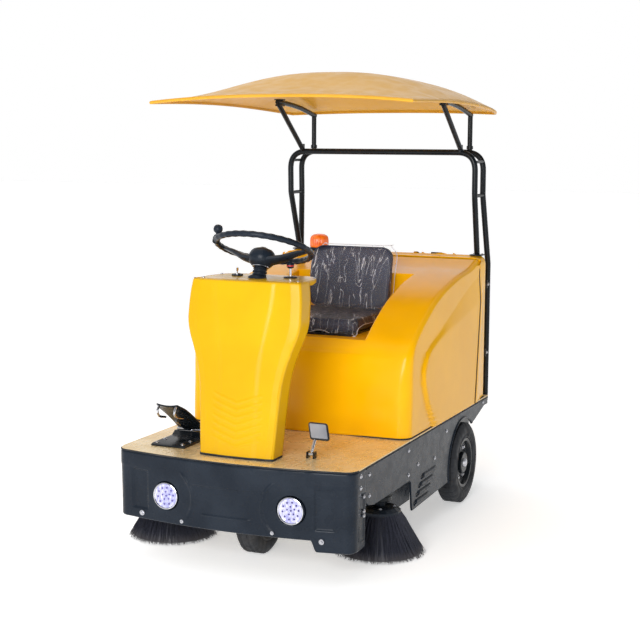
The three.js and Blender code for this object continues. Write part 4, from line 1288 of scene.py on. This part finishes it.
def make_steering():
    rim = [on_wheel(WHEEL_RADIUS, 360 * k / 160, 0.0) for k in range(160)]
    thickness = [0.0125 + 0.0008 * math.cos(2 * math.pi * k / 5) for k in range(160)]
    parts = [sweep(rim, thickness, 18, closed=True, up=COLUMN)]
    for angle in (6, 174):
        line = through([on_wheel(0.030, angle, -0.052), on_wheel(0.085, angle, -0.040),
                        on_wheel(0.140, angle, -0.016), on_wheel(0.188, angle, -0.001)], 14)
        wide = [lerp(0.044, 0.016, t) for t in spread(0, 1, 14)]
        parts.append(sweep(line, wide, 20, squash=0.42, up=COLUMN))
    parts.append(lathe([(0, -0.230), (0.012, -0.230), (0.012, -0.084), (0.028, -0.082),
                        (0.038, -0.078), (0.051, -0.064), (0.056, -0.048), (0.055, -0.034),
                        (0.050, -0.020), (0.041, -0.010), (0.031, -0.006), (0.0262, -0.006),
                        (0.0262, -0.019), (0, -0.019)], WHEEL_CENTRE, COLUMN, 56))
    piece("steering_wheel_rim", merge(parts), BLACK_PLASTIC, body="steering_wheel",
          stands_for=["steering_wheel"], angle=40)
    horn = lathe([(0, -0.011), (0.024, -0.011), (0.024, -0.007), (0.0225, -0.0045),
                  (0.018, -0.001), (0.012, 0.002), (0.006, 0.0035), (0, 0.004)],
                 WHEEL_CENTRE, COLUMN, 40)
    piece("horn_cap", horn, BLACK_PLASTIC, body="horn", stands_for=["horn_button"], angle=50)
    knob_foot = on_wheel(WHEEL_RADIUS, 209, 0.0)
    clamp_band = lathe([(0.0125, -0.014), (0.0155, -0.010), (0.0155, 0.010), (0.0125, 0.0134)],
                       knob_foot, COLUMN, 28)
    piece("knob_clamp", clamp_band, BLACK_PAINT, body="steering_wheel")
    knob = lathe([(0, 0.0136), (0.012, 0.0136), (0.013, 0.0165), (0.011, 0.019), (0.0065, 0.021),
                  (0.006, 0.026), (0.009, 0.029), (0.014, 0.032), (0.0175, 0.037),
                  (0.0192, 0.043), (0.0188, 0.050), (0.0160, 0.057), (0.0110, 0.0615),
                  (0.0050, 0.0635), (0, 0.064)], knob_foot, COLUMN, 40)
    piece("knob_ball", knob, BLACK_PLASTIC, body="spinner", stands_for=["spinner_knob"], angle=60)
    ribs = []
    for k in range(3):
        low = -0.134 + 0.014 * k
        ribs += [(0.0275, low), (0.0295, low + 0.001), (0.0295, low + 0.007),
                 (0.0275, low + 0.008), (0.0255, low + 0.009), (0.0255, low + 0.013)]
    sleeve = lathe([(0.015, -0.190), (0.027, -0.190), (0.027, -0.138)] + ribs
                   + [(0.029, -0.091), (0.027, -0.086), (0.024, -0.084), (0.015, -0.084)],
                   WHEEL_CENTRE, COLUMN, 48)
    piece("column_cover", sleeve, BLACK_PLASTIC, stands_for=["column_sleeve"], angle=35)
    band = lathe([(0.0300, -0.0825), (0.0345, -0.0820), (0.0345, -0.0785), (0.0300, -0.0780)],
                 WHEEL_CENTRE, COLUMN, 48)
    piece("column_band", band, CHROME, body="steering_wheel")
    foot = Vector((0.120, 0.300, COWL_TOP + 0.014))
    stem = sweep([foot, foot + Vector((0, 0, 0.036))], 0.0045, 14)
    piece("lever_stem", stem, CHROME, body="lever")
    ball = lathe([(0, 0.032), (0.008, 0.0325), (0.0125, 0.035), (0.0148, 0.041),
                  (0.0150, 0.048), (0.0135, 0.054), (0.0090, 0.0585), (0, 0.060)], foot, sides=36)
    piece("lever_ball", ball, BLACK_PLASTIC, body="lever", stands_for=["direction_lever"],
          angle=60)
    ring = lathe([(0.0148, 0.0405), (0.0156, 0.0415), (0.0158, 0.0450), (0.0150, 0.0465)], foot,
                 sides=36)
    piece("lever_ring", ring, RED_PLASTIC, body="lever")
    place = Vector((-0.120, 0.300, COWL_TOP + 0.0085))
    barrel = lathe([(0, 0), (0.0125, 0), (0.013, 0.002), (0.013, 0.008), (0.011, 0.010),
                    (0, 0.010)], place, sides=32)
    blade = prism([(y, z) for y, z in ((-0.003, 0.009), (0.003, 0.009), (0.003, 0.017),
                   (0.009, 0.021), (0.009, 0.029), (0.004, 0.032), (-0.004, 0.032),
                   (-0.009, 0.029), (-0.009, 0.021), (-0.003, 0.017))], -0.0012, 0.0012, "x")
    piece("key_blade", merge([barrel, blade.moved(Matrix.Translation(place))]), CHROME,
          body="key", stands_for=["ignition_key"], angle=30)


# ---- pedals ----
def make_pedals():
    left, right = -0.420, -0.260
    side_view = [(0.095, BODY_BASE), (0.318, BODY_BASE), (0.318, 0.474), (0.295, 0.474),
                 (0.270, 0.458), (0.110, 0.458), (0.095, 0.453)]
    base = prism(side_view, left, right, "x")
    piece("pedal_base", base, BLACK_PAINT, stands_for=["accelerator_base"],
          bevel=0.004, angle=25)
    heads = [bolt((x, y, 0.459), (0, 0, 1), 0.005)
             for x in (left + 0.020, right - 0.020) for y in (0.115, 0.180)]
    piece("pedal_base_bolts", merge(heads), SCREW)
    treadle = []
    middle = (left + right) / 2
    for share in spread(0, 1, 60):
        y = lerp(0.306, 0.094, share)
        z = lerp(0.483, 0.622, share ** 0.96) + 0.006 * math.sin(math.pi * share)
        half = 0.062 - 0.014 * ease(share, 0.70, 1.0) ** 2
        rib = 0.0022 * ease(math.cos(2 * math.pi * share * 15), -0.1, 0.6) * ease(
            share, 0.10, 0.14) * ease(share, 0.93, 0.89)
        row = []
        for u in spread(-1, 1, 30):
            dish = 0.006 * u * u
            cut = ease(abs(u), 0.94, 0.88)
            row.append(Vector((middle + u * half, y - 0.5 * (rib * cut), z + dish + rib * cut)))
        treadle.append(row)
    plate = grid(treadle)
    piece("pedal_treadle", plate, BLACK_PAINT, body="accelerator",
          stands_for=["accelerator_pedal"], thick=0.006, angle=40)
    curl = sweep(through([(middle - 0.040, 0.098, 0.617), (middle - 0.040, 0.084, 0.600),
                          (middle - 0.040, 0.096, 0.576), (middle - 0.040, 0.150, 0.560)], 20),
                 0.005, 10)
    stay = sweep([(left + 0.012, 0.303, 0.482), (right - 0.012, 0.303, 0.482)], 0.007, 18)
    under = sweep(through([(middle, 0.292, 0.484), (middle, 0.230, 0.505), (middle, 0.165, 0.545)],
                          12), 0.009, 12, squash=0.5)
    other = Shape([(2 * middle - p.x, p.y, p.z) for p in curl.points], curl.faces)
    piece("pedal_hardware", merge([curl, other, stay, under]), CHROME, body="accelerator")
    tilt = Matrix.Translation((0.290, 0.204, 0.548)) @ Matrix.Rotation(-0.42, 4, "X")
    slant = -0.33

    def leaning(*outline):
        return [(x + slant * y, y) for x, y in rounded_outline(*outline)]
    pad = prism(leaning(0.036, -0.029, 0.029, 0.005, 4), -0.004, 0.001, "z")
    tread = [prism(leaning(0.031, y - 0.0022, y + 0.0022, 0.002, 3),
                   0.0005, 0.0032, "z") for y in spread(-0.020, 0.020, 6)]
    turn = Matrix.Rotation(math.radians(90), 4, "X")
    face = merge([pad] + tread).moved(tilt @ turn @ Matrix.Scale(-1, 4, (0, 0, 1)))
    piece("brake_pad_face", face, PEDAL_STEEL, body="brake", stands_for=["brake_pedal"],
          bevel=0.0008, angle=30)
    border = [tilt @ turn @ Vector((x, y, -0.0012))
              for x, y in leaning(0.0372, -0.0302, 0.0302, 0.006, 5)]
    piece("brake_pad_rubber", sweep(border, 0.0054, 10, closed=True), SEAL, body="brake")
    stem = [sweep(through([(0.275, 0.165, 0.462), (0.2765, 0.176, 0.485), (0.279, 0.194, 0.518),
                           (0.2835, 0.210, 0.544)], 20), 0.0062, 16),
            sweep([(0.265, 0.165, 0.462), (0.286, 0.165, 0.462)], 0.008, 18)]
    piece("brake_stem", merge(stem), CHROME, body="brake")


# ---- beacon ----
def make_beacon():
    place = (-0.350, 1.680, 1.1468)
    foot = lathe([(0, 0), (0.050, 0), (0.052, 0.002), (0.052, 0.007), (0.047, 0.012),
                  (0.046, 0.0142), (0, 0.0142)], place, sides=64)
    piece("beacon_foot", foot, BLACK_PLASTIC, stands_for=["beacon_base"],
          angle=40)
    rows = []
    profile = [(0.0450, 0.0144), (0.0470, 0.020), (0.0468, 0.036), (0.0462, 0.052),
               (0.0440, 0.064), (0.0390, 0.0725), (0.0300, 0.0785), (0.0180, 0.0815),
               (0.0060, 0.0822), (0.0, 0.0823)]
    for r, h in profile:
        row = []
        for a in turns(144):
            flute = 0.0010 * math.cos(36 * a) * ease(h, 0.078, 0.060) * ease(h, 0.016, 0.022)
            row.append(Vector(place) + Vector(((r + flute) * math.cos(a),
                                               (r + flute) * math.sin(a), h)))
        rows.append(row)
    piece("beacon_cover", grid(rows, around=True), AMBER, stands_for=["beacon_lens"], angle=60)


# ---- seat ----
CUSHION = {"half": 0.208, "front": 0.796, "rear": 1.219, "low": 0.8626, "high": 0.922}
BACK = {"half": 0.202, "low": 0.924, "high": 1.206, "front": 1.1935, "deep": 0.034, "lean": 0.25}


def pad_shape(levels, half, near, far, corner, place):
    """A boxed pad through (inset, level) outlines, closed at both ends; place puts a point."""
    middle = (near + far) / 2
    rows = [[(u, v, level) for u, v in rounded_outline(
        half - inset, near + inset, far - inset, corner - inset, 12)] for inset, level in levels]
    shape = grid([[place(*p) for p in row] for row in rows], around=True)
    for row in (rows[0], rows[-1]):
        rings = [[place(u * s, middle + (v - middle) * s, level) for u, v, level in row]
                 for s in spread(1.0, 0.02, 8)]
        shape.add(grid(rings, around=True))
        shape.add(Shape(rings[-1], [tuple(range(len(row)))]))
    return shape


def cushion_shape():
    """The seat pad, a little smaller than it will swell to: base, boxing, crowned top."""
    high, low = CUSHION["high"], CUSHION["low"]
    levels = ((0.012, low), (0.003, low + 0.008), (0.0, (low + high) / 2),
              (0.003, high - 0.008), (0.010, high))
    return pad_shape(levels, CUSHION["half"], CUSHION["front"], CUSHION["rear"], 0.046,
                     lambda x, y, z: Vector((x, y, z)))


def back_place(x, z, deep):
    """A point of the backrest, deep metres behind its front face."""
    return Vector((x, BACK["front"] + deep + BACK["lean"] * (z - BACK["low"]), z))


def back_shape():
    deep = BACK["deep"]
    levels = ((0.012, 0.0), (0.003, 0.007), (0.0, deep / 2), (0.003, deep - 0.006), (0.010, deep))
    return pad_shape(levels, BACK["half"], BACK["low"], BACK["high"], 0.058, back_place)


def stuffed(name, shape, node, held, cap):
    """A padded vinyl piece: remeshed, swollen by a cloth simulation between its held seams."""
    pad = piece(name, shape, VINYL, body="seat", stands_for=[node], angle=180)
    even = pad.modifiers.new("even", "REMESH")
    even.mode = "VOXEL"
    even.voxel_size = 0.0055
    even.use_smooth_shade = True
    bake(pad)
    pad.data.materials.clear()
    pad.data.materials.append(VINYL)
    swell(pad, held, cap)
    soft = pad.modifiers.new("soft", "SMOOTH")
    soft.factor = 0.5
    soft.iterations = 3
    more = pad.modifiers.new("fine", "SUBSURF")
    more.levels = 1
    more.render_levels = 1
    return pad


def swell(pad, held, cap):
    before = [v.co.copy() for v in pad.data.vertices]
    pinned = pad.vertex_groups.new(name="seams")
    for vertex in pad.data.vertices:
        weight = held(vertex.co.x, vertex.co.y + MIDDLE, vertex.co.z)
        if weight > 0:
            pinned.add([vertex.index], weight, "REPLACE")
    cloth = pad.modifiers.new("stuffing", "CLOTH")
    settings = cloth.settings
    settings.quality = 6
    settings.mass = 0.3
    settings.use_pressure = True
    settings.uniform_pressure_force = 4.0
    settings.tension_stiffness = 12
    settings.compression_stiffness = 12
    settings.bending_stiffness = 0.6
    settings.vertex_group_mass = pinned.name
    settings.effector_weights.gravity = 0
    scene = bpy.context.scene
    last_frame = 20
    for number in range(1, last_frame + 1):
        scene.frame_set(number)
    bake(pad)
    scene.frame_set(1)
    for vertex, start in zip(pad.data.vertices, before):
        move = vertex.co - start
        if move.length > cap:
            vertex.co = start + move.normalized() * cap


def make_seat():
    top = CUSHION["high"]

    def cushion_held(x, y, z):
        if z < CUSHION["low"] + 0.006:
            return 1.0
        edge = min(CUSHION["half"] - abs(x), y - CUSHION["front"], CUSHION["rear"] - y)
        seam = 1.0 if z > top - 0.009 and edge < 0.014 else 0.0
        panel = 0.9 if z > top - 0.004 and abs(edge - 0.062) < 0.003 else 0.0
        return max(seam, panel)

    def back_held(x, y, z):
        deep = y - BACK["front"] - BACK["lean"] * (z - BACK["low"])
        if deep > BACK["deep"] - 0.006:
            return 1.0
        edge = min(BACK["half"] - abs(x), z - BACK["low"], BACK["high"] - z)
        seam = 1.0 if deep < 0.009 and edge < 0.014 else 0.0
        panel = 0.9 if deep < 0.004 and abs(edge - 0.055) < 0.003 else 0.0
        return max(seam, panel)

    cushion = stuffed("seat_pad", cushion_shape(), "seat_cushion", cushion_held, 0.016)
    back = stuffed("backrest_pad", back_shape(), "seat_back", back_held, 0.014)
    ring = [(x, y, top - 0.003) for x, y in rounded_outline(
        CUSHION["half"] - 0.003, CUSHION["front"] + 0.003, CUSHION["rear"] - 0.003, 0.044, 16)]
    piping = [sweep(ring, 0.0034, 10, closed=True, up=(0, 0, 1))]
    ring = [back_place(x, z, 0.002) for x, z in rounded_outline(
        BACK["half"] - 0.003, BACK["low"] + 0.003, BACK["high"] - 0.003, 0.055, 16)]
    piping.append(sweep(ring, 0.0034, 10, closed=True))
    piece("seat_piping", merge(piping), VINYL, body="seat")
    middle = (BACK["low"] + BACK["high"]) / 2
    shell = grid([[back_place(x * s, middle + (z - middle) * s, BACK["deep"] + 0.004 * (s < 1))
                   for x, z in rounded_outline(BACK["half"] - 0.004, BACK["low"] + 0.004,
                                               BACK["high"] - 0.004, 0.054, 12)]
                  for s in (1.0, 0.985, 0.7, 0.3, 0.02)], around=True)
    piece("backrest_shell", shell, BLACK_PLASTIC, body="seat")
    make_film()


# ---- packing film on the seat ----
def crumple(x, y, z, high):
    """Sharp-ridged creases in a thin film, in metres."""
    total = 0.0
    for scale, share, stretch in ((6, 0.60, 0.30), (14, 0.28, 0.45), (31, 0.12, 0.6)):
        spot = Vector((x * scale, y * scale * stretch, z * scale * stretch + 3.7 * scale))
        total += share * (1 - abs(noise.noise(spot)) * 2.6)
    return high * total


def open_hem(rows):
    """The edge of a sheet along its sides and its last row."""
    return [row[0] for row in rows] + rows[-1][1:-1] + [row[-1] for row in rows[::-1]]


def make_film():
    lift = 0.019
    half = BACK["half"] + 0.010
    rows = []
    for v in spread(0, 1, 84):
        row = []
        z = lerp(BACK["low"] - 0.024, BACK["high"] + 0.005, clamp(v / 0.93))
        over = clamp((v - 0.93) / 0.07)
        top_pull = 0.016 * ease(z, BACK["high"] - 0.05, BACK["high"] + 0.005)
        for u in spread(-1, 1, 110):
            bend = clamp((abs(u) - 0.80) / 0.20)
            side = 1 if u > 0 else -1
            flat_x = min(abs(u) / 0.80, 1) * (half - 0.022)
            x = side * (flat_x + 0.022 * math.sin(bend * math.pi / 2))
            x *= 1 - 0.20 * ease(z, BACK["high"] - 0.055, BACK["high"] + 0.008) ** 2
            bulge = lift * (1 - 0.45 * (flat_x / half) ** 2)
            deep = -bulge + 0.050 * bend ** 1.6 + top_pull + 0.030 * over
            spot = back_place(x, z, deep)
            off = crumple(x, 0.3 * u, z, 0.0065)
            row.append(spot + Vector((side * bend * off, -off * (1 - bend) + 0.003, 0)))
        rows.append(row)
    sleeve = piece("seat_film_back", grid(rows), FILM, body="seat", angle=180)
    declare_film(rows)
    hems = [open_hem(rows)]
    rows = []
    front, rear = CUSHION["front"] - 0.006, CUSHION["rear"] - 0.030
    for v in spread(0, 1, 84):
        down = clamp((v - 0.74) / 0.26)
        y = lerp(rear, front + 0.014, clamp(v / 0.74)) - 0.016 * math.sin(
            min(down * 2.2, 1) * math.pi / 2)
        z_mid = CUSHION["high"] + 0.021 - 0.010 * ease(y, front + 0.08, front)
        z = z_mid - 0.072 * down
        flare = 0.020 * ease(down, 0.55, 1.0)
        row = []
        for u in spread(-1, 1, 110):
            bend = clamp((abs(u) - 0.82) / 0.18)
            side = 1 if u > 0 else -1
            x = side * (min(abs(u) / 0.82, 1) * (CUSHION["half"] - 0.012)
                        + 0.022 * math.sin(bend * math.pi / 2))
            off = crumple(x, y * 0.7, z * 1.4 + 5, 0.0075)
            drop = 0.042 * bend ** 1.5 * (1 - down) + 0.010 * (x / 0.2) ** 2
            hem = 0.012 * math.sin(x * 31) * ease(down, 0.7, 1.0)
            row.append(Vector((x, y - flare - off * down, z - drop + off * (1 - down) + hem)))
        rows.append(row)
    cover = piece("seat_film_cushion", grid(rows), FILM, body="seat", angle=180)
    declare_film(rows)
    hems.append(open_hem(rows))
    # Thin near-white tubes along the film's open edges: the hem, with a painted highlight.
    piece("seat_film_hem", merge([sweep(hem, 0.0014, 6) for hem in hems]), FILM_EDGE_HIGHLIGHT, body="seat")


def declare_film(rows):
    """Measures the film's two lengths along its creased surface, and does nothing with them."""
    def length(line):
        return sum((b - a).length for a, b in zip(line, line[1:]))
    across = sum(length(row) for row in rows) / len(rows)
    columns = list(zip(*rows))
    along = sum(length(column) for column in columns) / len(columns)


# ---- CAD nodes that stay, with finished materials ----
KEPT = (
    (BLACK_PAINT, ["chassis_frame", "steering_fork", "drive_motor", "seat_pan",
                                  "side_brush_arm_left", "side_brush_arm_right",
                                  "side_brush_motor_left", "side_brush_motor_right"]),
    (BLACK_PLASTIC, ["main_brush_housing", "dust_hopper", "battery_pack",
                                      "side_brush_disc_left", "side_brush_disc_right",
                                      "main_brush_core"]),
    (GREY_METAL, ["rear_axle", "front_rim", "dust_filter"]),
)


def finish_kept_nodes():
    for material, names in KEPT:
        for name in names:
            node = NODES[name]
            node.data.materials.clear()
            node.data.materials.append(material)
            bevel_edges(node, 0.0016, 2, 50, False)


# ---- studio: floor, light, camera ----
def make_stage():
    mesh = bpy.data.meshes.new("studio_floor")
    size = 40.0
    mesh.from_pydata([(-size, -size, 0), (size, -size, 0), (size, size, 0), (-size, size, 0)], [],
                     [(0, 1, 2, 3)])
    floor = bpy.data.objects.new("studio_floor", mesh)
    bpy.context.scene.collection.objects.link(floor)
    pale = Paint("pale_floor", Emission_Color=rgb(1.0, 1.0, 1.0), Emission_Strength=0.46)
    pale.colour(pale.mix(pale.noise(0.6, 3), rgb(0.955, 0.955, 0.955), rgb(0.975, 0.975, 0.975)))
    pale.rough(pale.mottle(3, 3, 0.75, 0.85))
    mesh.materials.append(pale.material)


def make_light():
    scene = bpy.context.scene
    scene.view_settings.view_transform = "Standard"
    world = bpy.data.worlds.new("studio")
    world.use_nodes = True
    scene.world = world
    nodes, links = world.node_tree.nodes, world.node_tree.links
    split = nodes.new("ShaderNodeSeparateXYZ")
    links.new(nodes.new("ShaderNodeTexCoord").outputs["Generated"], split.inputs[0])
    both = nodes.new("ShaderNodeMath")
    both.operation = "MULTIPLY"
    sky = nodes.new("ShaderNodeMath")
    sky.operation = "MAXIMUM"
    for socket, axis, low, high, at_low, at_high in (
            (both.inputs[0], "X", -0.10, 0.50, 1.0, 0.20),
            (both.inputs[1], "Y", -0.30, 0.40, 0.60, 1.0),
            (sky.inputs[0], "Z", 0.06, 0.30, 0.92, 0.0)):
        fade = nodes.new("ShaderNodeMapRange")
        set_range(fade, low, high, at_low, at_high)
        links.new(split.outputs[axis], fade.inputs["Value"])
        links.new(fade.outputs["Result"], socket)
    links.new(both.outputs["Value"], sky.inputs[1])
    links.new(sky.outputs["Value"], nodes["Background"].inputs["Strength"])
    nodes["Background"].inputs["Color"].default_value = (1.0, 1.0, 1.0, 1.0)
    middle = Vector((0.0, 0.0, 0.8))
    for name, place, size, power in (("key", (0.9, -6.2, 2.4), 2.6, 250),
                                     ("top", (-0.8, 0.4, 5.0), 3.0, 28)):
        lamp = bpy.data.lights.new(name, "AREA")
        lamp.size = size
        lamp.energy = power
        holder = bpy.data.objects.new(name, lamp)
        holder.location = place
        holder.rotation_euler = (middle - Vector(place)).to_track_quat("-Z", "Y").to_euler()
        scene.collection.objects.link(holder)


def make_camera():
    """The photograph's view: ahead and to the driver's left, slightly above the seat."""
    heading, tilt, roll = (math.radians(a) for a in CAMERA_ANGLES)
    forward = Vector((-math.sin(heading) * math.cos(tilt), math.cos(heading) * math.cos(tilt),
                      -math.sin(tilt)))
    right = Vector((math.cos(heading), math.sin(heading), 0))
    up = right.cross(forward)
    turned_right = right * math.cos(roll) + up * math.sin(roll)
    turned_up = up * math.cos(roll) - right * math.sin(roll)
    lens = bpy.data.cameras.new("photo_view")
    lens.lens = CAMERA_LENS
    lens.sensor_width = 36
    lens.clip_end = 200
    holder = bpy.data.objects.new("photo_view", lens)
    turn = Matrix((turned_right, turned_up, -forward)).transposed().to_4x4()
    holder.matrix_world = Matrix.Translation(CAMERA_PLACE) @ turn
    bpy.context.scene.collection.objects.link(holder)
    bpy.context.scene.camera = holder


make_camera()
make_light()
make_stage()
make_cowl()
make_dashboard()
make_body()
make_rear_cover()
make_canopy()
make_hoops()
make_canopy_frame()
make_deck()
make_bumper()
make_headlights()
make_side_skirts()
make_wheels()
make_side_brushes()
make_main_brush()
make_steering()
make_pedals()
make_beacon()
make_seat()
finish_kept_nodes()
